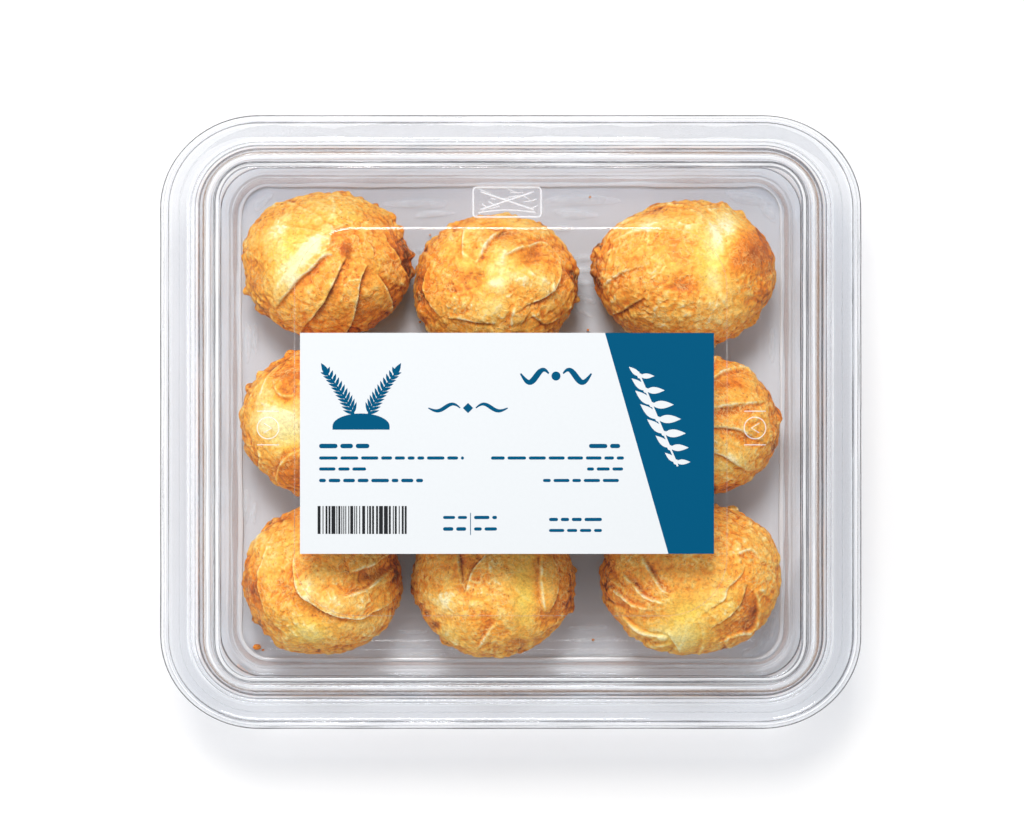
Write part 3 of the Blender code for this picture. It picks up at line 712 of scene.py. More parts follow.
def darken_rim(obj, mat, half_x, half_y, corner):
    """The flat rim outside the stepped walls passes a little less light than the rest of the sheet."""
    obj.data.materials.append(mat)
    for face in obj.data.polygons:
        x, y = abs(face.center[0]) * 1000.0, abs(face.center[1]) * 1000.0
        away = math.hypot(max(x - half_x + corner, 0.0), max(y - half_y + corner, 0.0)) - corner
        if away > 0.0:
            face.material_index = 1


def ridge_material(name, alpha, rgb=(0.95, 0.96, 0.98)):
    """Raised lines in the clear sheet, drawn in a see-through colour that paints light on them: pale for painted
    highlights, grey and brown for painted reflections and shade.
    """
    mat, nt, shader = new_material(name)
    shader.inputs["Base Color"].default_value = (*rgb, 1.0)
    shader.inputs["Alpha"].default_value = alpha
    shader.inputs["Roughness"].default_value = 0.18
    return mat


def paper_material(name, rgb, rough=0.42, shine=0.25):
    mat, nt, shader = new_material(name)
    n = nt.nodes
    coord = n.new("ShaderNodeTexCoord")
    grain = n.new("ShaderNodeTexNoise")
    grain.inputs["Scale"].default_value = 900.0
    grain.inputs["Detail"].default_value = 3.0
    nt.links.new(coord.outputs["Object"], grain.inputs["Vector"])
    tint = n.new("ShaderNodeMix")
    tint.data_type = "RGBA"
    tint.inputs["A"].default_value = (*[c * 0.97 for c in rgb], 1.0)
    tint.inputs["B"].default_value = (*rgb, 1.0)
    nt.links.new(grain.outputs["Fac"], tint.inputs["Factor"])
    nt.links.new(tint.outputs["Result"], shader.inputs["Base Color"])
    bump = n.new("ShaderNodeBump")
    bump.inputs["Strength"].default_value = 0.15
    bump.inputs["Distance"].default_value = 0.00003
    nt.links.new(grain.outputs["Fac"], bump.inputs["Height"])
    nt.links.new(bump.outputs["Normal"], shader.inputs["Normal"])
    shader.inputs["Roughness"].default_value = rough
    shader.inputs["Specular IOR Level"].default_value = shine
    return mat


# ------------------------------------------------------------------ clear sheet parts
PACK_W, PACK_D = 240.0, 210.0
CORNER_X, CORNER_Y = 34.0, 32.0
INSET_Y = 0.87
TRAY_WALL, LID_WALL = 0.6, 0.5
TRAY_LINE = [
    (25.4, 0.0), (23.2, 0.5), (21.4, 2.4), (20.5, 5.4),
    (18.5, 18.6), (17.6, 19.7), (15.6, 20.3), (14.6, 21.4),
    (12.7, 31.2), (11.7, 32.6), (10.3, 33.1), (1.5, 33.1),
]
LID_LINE = [
    (22.9, 58.0), (21.3, 57.2), (20.5, 55.2),
    (19.6, 51.2), (18.4, 50.2), (17.2, 49.6), (16.6, 48.4),
    (14.8, 38.8), (13.6, 37.5), (10.9, 36.8), (9.9, 34.8),
    (9.1, 34.5), (4.1, 34.5), (2.8, 35.3), (1.0, 35.1), (0.1, 34.5), (0.0, 33.6), (0.15, 29.4),
]
PANEL_W, PANEL_D, PANEL_R, PANEL_UP = 144.0, 129.0, 20.0, 0.6
TAB_W, TAB_D, TAB_AT = 22.6, 9.8, (-1.2, 73.2)
LABEL_W, LABEL_D, LABEL_AT = 137.7, 73.5, (-1.25, -7.1)


def ring_points(half_x, half_y, rx, ry, steps=20, gap=4.0):
    pts = []
    for quarter in range(4):
        sx = 1.0 if quarter in (0, 3) else -1.0
        sy = 1.0 if quarter in (0, 1) else -1.0
        cx, cy = sx * (half_x - rx), sy * (half_y - ry)
        for k in range(steps + 1):
            a = math.radians(90.0 * quarter + 90.0 * k / steps)
            pts.append((cx + rx * math.cos(a), cy + ry * math.sin(a)))
        # straight run to the next corner, cut up so that it can be slightly wavy
        n = STRAIGHT_X if quarter in (0, 2) else STRAIGHT_Y
        nx = (-1 if quarter == 0 else 1) * (half_x - rx) if quarter in (0, 2) else (-half_x if quarter == 1 else half_x)
        ny = (half_y if quarter == 0 else -half_y) if quarter in (0, 2) else (-1 if quarter == 1 else 1) * (half_y - ry)
        x0, y0 = pts[-1]
        for k in range(1, n):
            t = k / n
            pts.append((x0 + (nx - x0) * t, y0 + (ny - y0) * t))
    return np.array(pts)


STRAIGHT_X, STRAIGHT_Y = 40, 34
FLOOR_RIPPLE = 0.045


def pack_ring(step_in):
    dy = step_in * INSET_Y
    return ring_points(PACK_W / 2 - step_in, PACK_D / 2 - dy,
                       max(CORNER_X - step_in, 3.0), max(CORNER_Y - dy, 3.0))


def rounded_line(line, radius=0.7, steps=3):
    """The same profile with its corners rounded."""
    p = [np.array(q, float) for q in line]
    out = [p[0]]
    for a, b, c in zip(p, p[1:], p[2:]):
        r = min(radius, 0.45 * np.linalg.norm(b - a), 0.45 * np.linalg.norm(c - b))
        back, on = (a - b) / np.linalg.norm(a - b), (c - b) / np.linalg.norm(c - b)
        s, e = b + back * r, b + on * r
        # a support point just outside each end keeps the straight runs flat
        if np.linalg.norm(a - b) > 2.4 * r:
            out.append(s + back * 0.12)
        for k in range(steps + 1):
            t = k / steps
            out.append((1 - t) ** 2 * s + 2 * t * (1 - t) * b + t * t * e)
        if np.linalg.norm(c - b) > 2.4 * r:
            out.append(e + on * 0.12)
    out.append(p[-1])
    return out


def offset_line(line, t):
    out = []
    for i in range(len(line)):
        normals = []
        for a, b in ((i - 1, i), (i, i + 1)):
            if a < 0 or b >= len(line):
                continue
            e = line[b] - line[a]
            normals.append(np.array([e[1], -e[0]]) / np.linalg.norm(e))
        m = sum(normals)
        m = m / np.linalg.norm(m)
        out.append(line[i] + m * t / max(float(m @ normals[0]), 0.5))
    return out


def sheet_piece(name, rings, mat, wobble, seed):
    """Skins closed rings into one thin closed shell; rings are (points, heights)."""
    rows = []
    for pts, z in rings:
        zz = np.full(len(pts), z) if np.isscalar(z) else z
        rows.append(np.column_stack([pts, zz]))
    count = len(rows[0])
    v = np.concatenate(rows)
    noise = Noise(seed)
    spot = v.copy()
    spot[:, 2] *= 0.5
    edge = 1.0
    v[:, 0] += wobble * noise.fbm(spot, 23.0, 2) * edge
    v[:, 1] += wobble * noise.fbm(spot + 77.0, 23.0, 2) * edge
    v[:, 2] += wobble * 0.8 * noise.fbm(spot + 177.0, 31.0, 2)
    v[:, 0] = np.clip(v[:, 0], -PACK_W / 2, PACK_W / 2)
    v[:, 1] = np.clip(v[:, 1], -PACK_D / 2, PACK_D / 2)
    v[:, 2] = np.maximum(v[:, 2], 0.0)
    quads = []
    k = np.arange(count)
    for r in range(len(rows) - 1):
        a, b = r * count + k, r * count + (k + 1) % count
        quads.append(np.column_stack([a, b, b + count, a + count]))
    quads = np.concatenate(quads)
    bm_faces = [tuple(q) for q in quads]
    mesh = bpy.data.meshes.new(name)
    ends = [list(range(count)), list(range((len(rows) - 1) * count, len(rows) * count))]
    mesh.from_pydata([tuple(p * MM) for p in v], [], bm_faces + [tuple(e) for e in ends])
    bm = bmesh.new()
    bm.from_mesh(mesh)
    bmesh.ops.triangulate(bm, faces=[f for f in bm.faces if len(f.verts) > 4])
    bmesh.ops.recalc_face_normals(bm, faces=bm.faces[:])
    bm.to_mesh(mesh)
    bm.free()
    mesh.shade_smooth()
    mesh.set_sharp_from_angle(angle=math.radians(38))
    mesh.materials.append(mat)
    obj = bpy.data.objects.new(name, mesh)
    scene.collection.objects.link(obj)
    return obj


def build_tray(mat):
    under = rounded_line(TRAY_LINE)
    upper = offset_line(under, TRAY_WALL)
    upper[0] = under[0] + np.array([0.0, TRAY_WALL])
    upper[-1] = under[-1] + np.array([0.0, TRAY_WALL])
    rings = []
    # shallow ripples pressed into the floor, side by side along the walls
    floor = []
    for k in range(52, 0, -1):
        run = k * 0.85
        fade = min(run / 4.0, 1.0) * (1.0 if run < 22 else max(0.0, 1 - (run - 22) / 20.0) * 0.6 + 0.4)
        floor.append((25.4 + run, FLOOR_RIPPLE * fade * (1 - math.cos(2 * math.pi * run / 5.1))))
    for step, z in floor:
        rings.append((pack_ring(step), z))
    for d, z in under:
        rings.append((pack_ring(d), z))
    for d, z in reversed(upper):
        rings.append((pack_ring(d), z))
    for step, z in reversed(floor):
        rings.append((pack_ring(step), z + TRAY_WALL))
    return sheet_piece("tray_sheet", rings, mat, 0.10, 501)


def build_lid(mat):
    upper = rounded_line(LID_LINE)
    inner = offset_line(upper, -LID_WALL)
    inner[0] = upper[0] - np.array([0.0, LID_WALL])
    inner[-1] = upper[-1] + np.array([LID_WALL, 0.0])

    def panel(grow):
        return ring_points(PANEL_W / 2 + grow, PANEL_D / 2 + grow, PANEL_R + grow, PANEL_R + grow)

    top = LID_LINE[0][1]
    rings = []
    step_line = [(-0.5, top + PANEL_UP), (-0.12, top + PANEL_UP - 0.06), (0.0, top + 0.5 * PANEL_UP), (0.12, top + 0.06), (0.5, top)]
    for g, z in step_line:
        rings.append((panel(g), z))
    wide = panel(0.8)
    shoulder = pack_ring(upper[0][0] + 0.4)
    spans = ((0.0, wide), (0.5, wide * 0.5 + shoulder * 0.5), (1.0, shoulder))
    for _, ring in spans:
        rings.append((ring, top))
    for d, z in upper:
        rings.append((pack_ring(d), z))
    for d, z in reversed(inner):
        rings.append((pack_ring(d), z))
    for _, ring in reversed(spans):
        rings.append((ring, top - LID_WALL))
    for g, z in reversed(step_line):
        rings.append((panel(g), z - LID_WALL))
    return sheet_piece("lid_sheet", rings, mat, 0.12, 601)


def ridge_line(bm, pts, z, width=0.9, height=0.45, closed=False, worn=None, tilt=0.0):
    """A low rounded ridge standing on the sheet along a line of points; worn scales its width,
    tilt is how steeply it falls to the left of the line."""
    pts = [Vector((x, y, 0)) for x, y in pts]
    n = len(pts)
    worn = np.ones(n) if worn is None else worn
    rows = []
    prof = [(-0.5, 0.0), (-0.38, 0.6), (0.0, 1.0), (0.38, 0.6), (0.5, 0.0), (0.0, -0.15)]
    for i, p in enumerate(pts):
        if closed:
            d = pts[(i + 1) % n] - pts[i - 1]
        else:
            d = pts[min(i + 1, n - 1)] - pts[max(i - 1, 0)]
        d.normalize()
        nrm = Vector((-d.y, d.x, 0))
        rows.append([bm.verts.new((p + nrm * (u * width * worn[i]) + Vector((0, 0, z + w * height - tilt * u * width * worn[i]))) * MM)
                     for u, w in prof])
    m = len(prof)
    for i in range(n if closed else n - 1):
        a, b = rows[i], rows[(i + 1) % n]
        for k in range(m):
            bm.faces.new((a[k], b[k], b[(k + 1) % m], a[(k + 1) % m]))
    if not closed:
        bm.faces.new(rows[0])
        bm.faces.new(list(reversed(rows[-1])))


def on_lid(px):
    """Step in and height of the lid where it shows at this column, left of the middle."""
    def column(step, z):
        return MID[0] - (PACK_W / 2 - step) / ((934.5 - z) / 2632.0)
    line = list(reversed(LID_LINE))
    for (s0, z0), (s1, z1) in zip(line, line[1:]):
        a, b = column(s0, z0), column(s1, z1)
        if a <= px <= b or b <= px <= a:
            t = (px - a) / (b - a) if b != a else 0.0
            return s0 + (s1 - s0) * t, z0 + (z1 - z0) * t
    return line[-1]


def side_strength(ring, sides):
    """Blend four strengths (left, far, right, near) round a ring."""
    x, y = ring[:, 0] / ring[:, 0].max(), ring[:, 1] / ring[:, 1].max()
    left, far, right, near = sides
    wx, wy = np.abs(x) ** 10, np.abs(y) ** 10
    s = (wx * np.where(x < 0, left, right) + wy * np.where(y < 0, near, far)) / (wx + wy)
    kernel = np.hanning(15) / np.hanning(15).sum()
    return np.convolve(np.concatenate([s[-7:], s, s[:7]]), kernel, "valid")


def build_edge_lines(pale, grey, brown, painted_shade_band, painted_crust_band, floor_edge_highlight):
    """Thin lines and bands painted where the sheet folds: the pale lines are painted highlights, the grey lines painted
    dark reflections, the grey band painted shade, and the brown line and the warm band painted reflections of the
    crust.
    Each run: step in, height, width, thickness, strengths by side, tilt."""
    # side strengths: the painted highlights are strongest on the left, the painted dark lines on the far, right and
    # near sides
    light, dark = (1.2, 0.8, 0.9, 1.0), (0.7, 1.4, 1.3, 1.3)
    groups = (
        ("lid_painted_highlights", pale, [(*on_lid(165.5), 0.7, 0.12, light, 0), (*on_lid(188.5), 0.5, 0.12, light, 0),
                                  (*on_lid(207.5), 0.8, 0.1, light, 0), (*on_lid(216.0), 0.5, 0.1, light, 0),
                                  (22.35, 57.93, 0.6, 0.16, light, 0)]),
        ("tray_floor_painted_highlight", floor_edge_highlight, [(24.0, TRAY_WALL + 0.34, 1.5, 0.14, (1.2, 1.5, 1.0, 1.0), 0.2)]),
        ("tray_painted_highlights", pale, [(20.6, TRAY_WALL + 5.2, 0.9, 0.14, (1.3, 1.0, 1.1, 1.0), 1.6)]),
        ("lid_painted_dark_lines", grey, [(0.30, 34.72, 0.36, 0.1, (1, 1, 1, 1), 0), (*on_lid(168.6), 0.45, 0.1, dark, 0),
                                  (*on_lid(195.0), 0.35, 0.1, dark, 0), (*on_lid(199.6), 0.62, 0.12, dark, 0),
                                  (*on_lid(213.5), 0.34, 0.1, dark, 0), (*on_lid(219.0), 0.5, 0.1, dark, 0),
                                  (21.55, 57.42, 0.8, 0.1, (0.35, 1.5, 0.9, 0.8), 0.4)]),
        ("lid_painted_crust_lines", brown, [(*on_lid(203.8), 0.75, 0.1, (0.8, 0.8, 1.4, 1.2), 0)]),
        ("lid_painted_shade", painted_shade_band, [(6.6, 34.56, 4.6, 0.05, (0.05, 1.0, 0.1, 0.1), 0)]),
        ("tray_painted_crust_reflection", painted_crust_band, [(22.25, TRAY_WALL + 1.7, 1.9, 0.08, (1.1, 1.0, 1.1, 0.7), 1.05)]),
    )
    for k, (name, mat, runs) in enumerate(groups):
        bm = bmesh.new()
        for m, (step, z, width, height, sides, tilt) in enumerate(runs):
            ring = pack_ring(step)
            noise = Noise(700 + 17 * k + m)
            flat = np.column_stack([ring, np.full(len(ring), 10.0 * m)])
            worn = np.clip(0.85 + 1.1 * noise.fbm(flat, 26.0, 3), 0.25, 1.5) * side_strength(ring, sides)
            ridge_line(bm, [tuple(p) for p in ring], z + 0.03, width, height, closed=True, worn=worn, tilt=tilt)
        bmesh.ops.recalc_face_normals(bm, faces=bm.faces[:])
        mesh = bpy.data.meshes.new(name)
        bm.to_mesh(mesh)
        bm.free()
        mesh.shade_smooth()
        mesh.materials.append(mat)
        obj = bpy.data.objects.new(name, mesh)
        scene.collection.objects.link(obj)
        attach(obj, "root")


def build_ridges(mat):
    """The crossed tab and two plain pressed marks on the lid's flat shoulder."""
    top = LID_LINE[0][1] + 0.02
    bm = bmesh.new()
    tx, ty = TAB_AT
    box = ring_points(TAB_W / 2, TAB_D / 2, 1.2, 1.2)
    box = box[:: max(1, len(box) // 60)] + np.array([tx, ty])
    ridge_line(bm, [tuple(p) for p in box], top, 0.8, 0.5, closed=True)
    inner = [(tx - TAB_W / 2 + 1.6 + (TAB_W - 3.2) * k / 16,
              ty - TAB_D / 2 + 1.3 + 1.0 * math.sin(math.pi * k / 16)) for k in range(17)]
    ridge_line(bm, inner, top, 0.5, 0.35)
    for s2 in (-1, 1):
        ridge_line(bm, [(tx - (TAB_W / 2 - 2.4) + (TAB_W - 4.8) * k / 12, ty + s2 * (TAB_D / 2 - 1.9) * (1 - 2 * k / 12) + 0.5)
                        for k in range(13)], top, 0.7, 0.45)
    rng = np.random.default_rng(31)
    for k in range(16):
        fx, fy = rng.uniform(-0.40, 0.40), rng.uniform(-0.36, 0.40)
        run, slope = rng.uniform(0.8, 2.4), rng.uniform(-0.7, 0.7)
        ridge_line(bm, [(tx + fx * TAB_W - run, ty + fy * TAB_D - run * slope), (tx + fx * TAB_W, ty + fy * TAB_D),
                        (tx + fx * TAB_W + run, ty + fy * TAB_D + run * slope)], top, rng.uniform(0.25, 0.55), 0.3)
    for px, flip in ((268, 1), (755, -1)):
        mx, my = at(px, 428, 0.333)
        ring = [(mx + 3.6 * math.cos(a), my + 3.6 * math.sin(a)) for a in np.linspace(0, 2 * math.pi, 36, endpoint=False)]
        ridge_line(bm, ring, top, 0.45, 0.3, closed=True)
        for dy in (-5.6, 5.6):
            ridge_line(bm, [(mx - 3.6, my + dy), (mx, my + dy), (mx + 3.6, my + dy)], top, 0.45, 0.3)
        ridge_line(bm, [(mx - flip * 1.4, my - 1.6), (mx + flip * 1.2, my), (mx - flip * 1.4, my + 1.6)], top, 0.45, 0.3)
    bmesh.ops.recalc_face_normals(bm, faces=bm.faces[:])
    mesh = bpy.data.meshes.new("lid_ridges")
    bm.to_mesh(mesh)
    bm.free()
    mesh.shade_smooth()
    mesh.materials.append(mat)
    obj = bpy.data.objects.new("lid_ridges", mesh)
    scene.collection.objects.link(obj)
    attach(obj, "root")
    return obj


def build_sheen(mat):
    """Soft pale streaks on the tray's floor, painted reflections: each is a few thin stacked ovals."""
    rng = np.random.default_rng(77)
    streaks = [  # middle and half lengths in photograph pixels, turn in degrees
        (418, 204, 26, 4, 0), (432, 214, 16, 3, 4), (580, 200, 30, 5, 0), (575, 214, 18, 4, -4), (560, 228, 12, 3, 0),
        (262, 202, 10, 4, 40), (585, 258, 12, 3, 0), (586, 270, 13, 3, 3), (584, 283, 11, 2.5, -4), (585, 299, 10, 2.5, -20),
        (583, 312, 8, 2, -28), (424, 250, 8, 3, 0), (748, 198, 20, 5, -12), (768, 212, 10, 4, -50),
        (248, 342, 3, 16, 0), (255, 338, 2.5, 12, 0), (246, 505, 3, 14, 0), (254, 512, 2.5, 9, 0), (772, 345, 3, 14, 0),
        (590, 628, 16, 2.5, 0), (596, 640, 20, 3, 2), (588, 652, 22, 3, 0), (414, 632, 12, 2.5, 0), (408, 645, 18, 3, -3),
        (425, 655, 20, 2.5, 0), (762, 640, 4, 13, -28), (772, 628, 3, 12, -12), (752, 652, 10, 4, 28), (700, 666, 30, 3, 0),
        (300, 664, 26, 3, 0), (560, 662, 24, 2.5, 0),
    ]
    v, f = [], []
    for px, py, rx, ry, deg in streaks:
        x, y = at(px, py, 0.3545)
        c, s2 = math.cos(math.radians(deg)), math.sin(math.radians(deg))
        for k in range(4):
            grow = 1.25 - 0.27 * k
            z = TRAY_WALL + 2 * FLOOR_RIPPLE + 0.05 + 0.03 * k
            base = len(v)
            phase = rng.uniform(0, 6.28)
            for m in range(24):
                a = 2 * math.pi * m / 24
                r = grow * (1 + 0.12 * math.sin(3 * a + phase))
                lx, ly = rx * 0.3545 * r * math.cos(a), ry * 0.3545 * r * math.sin(a)
                v.append(((x + lx * c - ly * s2) * MM, (y + lx * s2 + ly * c) * MM, z * MM))
            f.append(tuple(range(base, base + 24)))
    mesh = bpy.data.meshes.new("tray_painted_reflections")
    mesh.from_pydata(v, [], f)
    mesh.materials.append(mat)
    obj = bpy.data.objects.new("tray_painted_reflections", mesh)
    scene.collection.objects.link(obj)
    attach(obj, "root")


def build_crumbs(mat):
    """Loose bits of crust on the tray's floor, where the photograph shows them."""
    rng = np.random.default_rng(21)
    v, f, col = [], [], []
    sph, faces, _ = ball(3)
    spots = [(257, 647, 1.15, 0.75), (263, 650, 0.45, 0.3), (590, 197, 0.35, 0.3), (430, 235, 0.35, 0.3),
             (420, 322, 0.4, 0.3), (588, 330, 0.45, 0.35), (407, 500, 0.35, 0.3), (593, 640, 0.4, 0.3), (232, 520, 0.3, 0.25)]
    for i, (px, py, r, tall) in enumerate(spots):
        x, y = at(px, py, 0.3545)
        noise = Noise(900 + i)
        bumpy = 1 + 0.35 * noise.fbm(sph * 2.0 + i, 1.3, 3)
        p = sph * bumpy[:, None] * np.array([r * rng.uniform(0.9, 1.3), r * rng.uniform(0.7, 1.0), tall])
        p[:, 2] -= p[:, 2].min()
        base = sum(len(q) for q in v)
        v.append(p + np.array([x, y, TRAY_WALL + 2 * FLOOR_RIPPLE + 0.1]))
        f.append(faces + base)
        shade = np.clip(0.35 + 0.25 * noise.fbm(sph * 3.0, 1.0, 2), 0, 1)
        col.append(np.stack([np.interp(shade, RAMP_AT, RAMP[:, k]) for k in range(3)], axis=1))
    piece = mesh_from_arrays("crumbs", np.concatenate(v), np.concatenate(f), mat)
    layer = piece.data.color_attributes.new("crust", "FLOAT_COLOR", "POINT")
    rgba = np.ones((len(np.concatenate(v)), 4), dtype=np.float32)
    rgba[:, :3] = np.concatenate(col)
    layer.data.foreach_set("color", rgba.ravel())
    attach(piece, "root")


# ------------------------------------------------------------------ label print
class Flat:
    """Collects flat shapes on the label into one thin mesh."""

    def __init__(self, name, z, mat):
        self.name, self.z, self.mat = name, z, mat
        self.v, self.f = [], []

    def shape(self, pts):
        base = len(self.v)
        z = self.z + 0.0006 * (len(self.f) % 60)        # laps never lie in one plane
        self.v += [(x, y, z) for x, y in pts]
        self.f.append(tuple(range(base, base + len(pts))))

    def rect(self, x0, y0, x1, y1):
        self.shape([(x0, y0), (x1, y0), (x1, y1), (x0, y1)])

    def bar(self, x0, x1, y, thick):
        """A rounded bar."""
        r = thick / 2
        pts = []
        for a in range(-90, 91, 30):
            pts.append((x1 - r + r * math.cos(math.radians(a)), y + r * math.sin(math.radians(a))))
        for a in range(90, 271, 30):
            pts.append((x0 + r + r * math.cos(math.radians(a)), y + r * math.sin(math.radians(a))))
        self.shape(pts)

    def leaf(self, x, y, length, width, deg):
        c, s = math.cos(math.radians(deg)), math.sin(math.radians(deg))
        pts = []
        n = 10
        for side in (1, -1):
            for k in range(n):
                t = k / n if side == 1 else 1 - k / n
                wv = side * width / 2 * math.sin(math.pi * t ** 0.8)
                px, py = length * t, wv
                pts.append((x + px * c - py * s, y + px * s + py * c))
        self.shape(pts)

    def disc(self, x, y, r, n=28):
        self.shape([(x + r * math.cos(2 * math.pi * k / n), y + r * math.sin(2 * math.pi * k / n)) for k in range(n)])

    def ribbon(self, pts, widths):
        pts = [np.array(p, float) for p in pts]
        left, right = [], []
        for i, p in enumerate(pts):
            d = pts[min(i + 1, len(pts) - 1)] - pts[max(i - 1, 0)]
            d = d / (np.linalg.norm(d) + 1e-9)
            nrm = np.array([-d[1], d[0]])
            left.append(tuple(p + nrm * widths[i] / 2))
            right.append(tuple(p - nrm * widths[i] / 2))
        for i in range(len(pts) - 1):
            self.shape([right[i], right[i + 1], left[i + 1], left[i]])

    def build(self):
        mesh = bpy.data.meshes.new(self.name)
        mesh.from_pydata([tuple(c * MM for c in p) for p in self.v], [], self.f)
        bm = bmesh.new()
        bm.from_mesh(mesh)
        bmesh.ops.triangulate(bm, faces=bm.faces[:])
        for face in bm.faces:
            if face.normal.z < 0:
                face.normal_flip()
        bm.to_mesh(mesh)
        bm.free()
        mesh.materials.append(self.mat)
        obj = bpy.data.objects.new(self.name, mesh)
        scene.collection.objects.link(obj)
        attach(obj, "root")
        return obj


LABEL_WHITE = (0.632, 0.656, 0.672)
LS = 0.3325                 # millimetres a pixel covers at the height of the label


def lab(px, py):
    return at(px, py, LS)


def build_print():
    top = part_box("label")[1][2] / MM
    teal = paper_material("teal_ink", (0.0, 0.073, 0.158), 0.6, 0.03)
    white = paper_material("white_ink", LABEL_WHITE, 0.45)
    dark = paper_material("dark_ink", lin(16, 20, 24), 0.42)
    x1, y0 = LABEL_AT[0] + LABEL_W / 2, LABEL_AT[1] - LABEL_D / 2
    y1 = LABEL_AT[1] + LABEL_D / 2
    field = Flat("label_field", top + 0.02, teal)
    xa, _ = lab(605, 333)
    xb, _ = lab(668.5, 554)
    field.shape([(xb, y0), (x1, y0), (x1, y1), (xa, y1)])
    field.build()

    ink = Flat("label_print", top + 0.02, teal)
    # bakery motif: two crossed ears of grain over a small round loaf
    cx, cy = lab(361, 399)
    for side in (-1, 1):
        stem = []
        for k in range(13):
            t = k / 12
            stem.append((cx + side * (1.5 + 9.5 * t ** 1.3), cy - 7.5 + 15.5 * t))
        ink.ribbon(stem, [0.55] * len(stem))
        for k in range(2, 13):
            px, py = stem[k]
            base = 90 - side * 28
            for s2 in (-1, 1):
                ink.leaf(px + s2 * 0.35, py, 4.4 - 0.12 * k, 1.05, base + s2 * 46)
        ink.leaf(stem[-1][0], stem[-1][1], 4.6, 1.8, 90 - side * 30)
    arc = [(cx + 9.5 * math.cos(math.radians(a)), cy - 9.0 + 4.2 * math.sin(math.radians(a))) for a in range(0, 181, 9)]
    ink.shape([arc[0]] + arc[1:] + [(cx - 9.5, cy - 10.2), (cx + 9.5, cy - 10.2)])
    # ornament where a title would stand: a flourish of two waves and lozenges
    tx, ty = lab(468, 408)
    for s2 in (-1, 1):
        wave = [(tx + s2 * (2.6 + 10.6 * k / 20), ty + 1.5 * math.sin(k / 20 * 2 * math.pi) * (1 - 0.5 * k / 20)) for k in range(21)]
        ink.ribbon(wave, [0.35 + 0.95 * math.sin(math.pi * k / 20) for k in range(21)])
    ink.shape([(tx - 1.7, ty), (tx, ty - 1.7), (tx + 1.7, ty), (tx, ty + 1.7)])
    tx, ty = lab(556, 376)
    for s2 in (-1, 1):
        wave = [(tx + s2 * (2.4 + 9.4 * k / 20), ty + 2.1 * math.sin(k / 20 * 2 * math.pi + 0.4)) for k in range(21)]
        ink.ribbon(wave, [0.5 + 1.5 * math.sin(math.pi * k / 20) for k in range(21)])
    ink.disc(tx, ty, 1.5)
    # bars where small print would stand
    for px0, px1, py, thick in ((319, 372, 446, 1.5), (319, 464, 458, 1.05), (319, 369, 469, 1.05), (319, 423, 480.5, 1.15),
                                (589, 624, 446, 1.4), (491, 624, 458, 1.05), (587, 624, 469, 1.05), (543, 624, 480.5, 1.05),
                                (443, 467, 517.5, 1.0), (474, 497, 517.5, 1.1), (443, 467, 529, 1.2), (474, 497, 529, 1.1),
                                (549, 602, 519.5, 1.1), (549, 602, 530.5, 1.0)):
        xa, yy = lab(px0, py)
        xb, _ = lab(px1, py)
        rng = np.random.default_rng(int(px0 * 7 + py * 3))
        # each line is broken into short runs, like words
        x = xa
        while x < xb - 0.8:
            run = min(rng.uniform(2.2, 6.4), xb - x)
            ink.bar(x, x + run, yy, thick)
            x += run + 0.9
    sep_x, _ = lab(470.5, 520)
    _, sy0 = lab(0, 535)
    _, sy1 = lab(0, 513)
    ink.rect(sep_x - 0.12, sy0, sep_x + 0.12, sy1)
    ink.build()

    stripes = Flat("label_stripes", top + 0.02, dark)
    xa, ya = lab(317.5, 534)
    xb, yb = lab(408.5, 506)
    rng = np.random.default_rng(5)
    x = xa
    while x < xb - 0.3:
        wide = rng.choice([0.33, 0.33, 0.66, 0.66, 0.99, 1.3])
        stripes.rect(x, ya, min(x + wide, xb), yb)
        x += wide + rng.choice([0.33, 0.33, 0.66])
    stripes.build()

    # pale ornament down the slanting edge of the coloured field
    pale = Flat("label_ornament", top + 0.04, white)
    ax, ay = lab(640, 376)
    bx, by = lab(676, 462)
    n = 7
    for k in range(n):
        t = k / (n - 1)
        x, y = ax + (bx - ax) * t, ay + (by - ay) * t
        grow = 0.75 + 0.45 * math.sin(math.pi * t)
        for deg in (20, 160):
            pale.leaf(x, y, 6.4 * grow, 2.3 * grow, deg - 20)
        pale.disc(x, y, 0.85)
    stem = [(ax + (bx - ax) * t - 1.0 * math.sin(3 * math.pi * t) * 0, ay + (by - ay) * t) for t in np.linspace(-0.05, 1.05, 24)]
    pale.ribbon(stem, [0.6] * 24)
    pale.build()


# ------------------------------------------------------------------ build
clear = clear_material("clear_lid_sheet", (0.995, 0.998, 1.0), (0.978, 0.980, 0.983))
tray = build_tray(clear_material("clear_tray_sheet", (0.984, 0.989, 1.0), (0.946, 0.953, 0.966)))
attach(tray, "root")
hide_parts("tray")
lid = build_lid(clear)
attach(lid, "root")
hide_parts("lid")

darken_rim(lid, clear_material("clear_lid_rim", (0.990, 0.995, 1.0), (0.915, 0.925, 0.940)), 101.0, 87.5, 30.0)
darken_rim(tray, clear_material("clear_tray_rim", (0.980, 0.986, 0.998), (0.895, 0.907, 0.928)), 101.0, 87.5, 30.0)

# the tab and pressed marks are drawn pale: a painted highlight on their ridges
build_ridges(ridge_material("ridge_painted_highlight", 0.30))
# painted light on the sheet: pale highlight lines, dark reflection lines, warm crust reflections, a grey painted shade
# band, a warm painted crust reflection band and a pale painted highlight along the floor edge
build_edge_lines(ridge_material("fold_painted_highlight", 0.55), ridge_material("fold_painted_dark_reflection", 0.42, (0.10, 0.10, 0.12)),
                 ridge_material("fold_painted_crust_reflection", 0.38, (0.42, 0.25, 0.15)), ridge_material("rim_painted_shade", 0.10, (0.30, 0.32, 0.36)),
                 ridge_material("wall_painted_crust_reflection", 0.22, (0.62, 0.42, 0.34)), ridge_material("floor_edge_painted_highlight", 0.70))

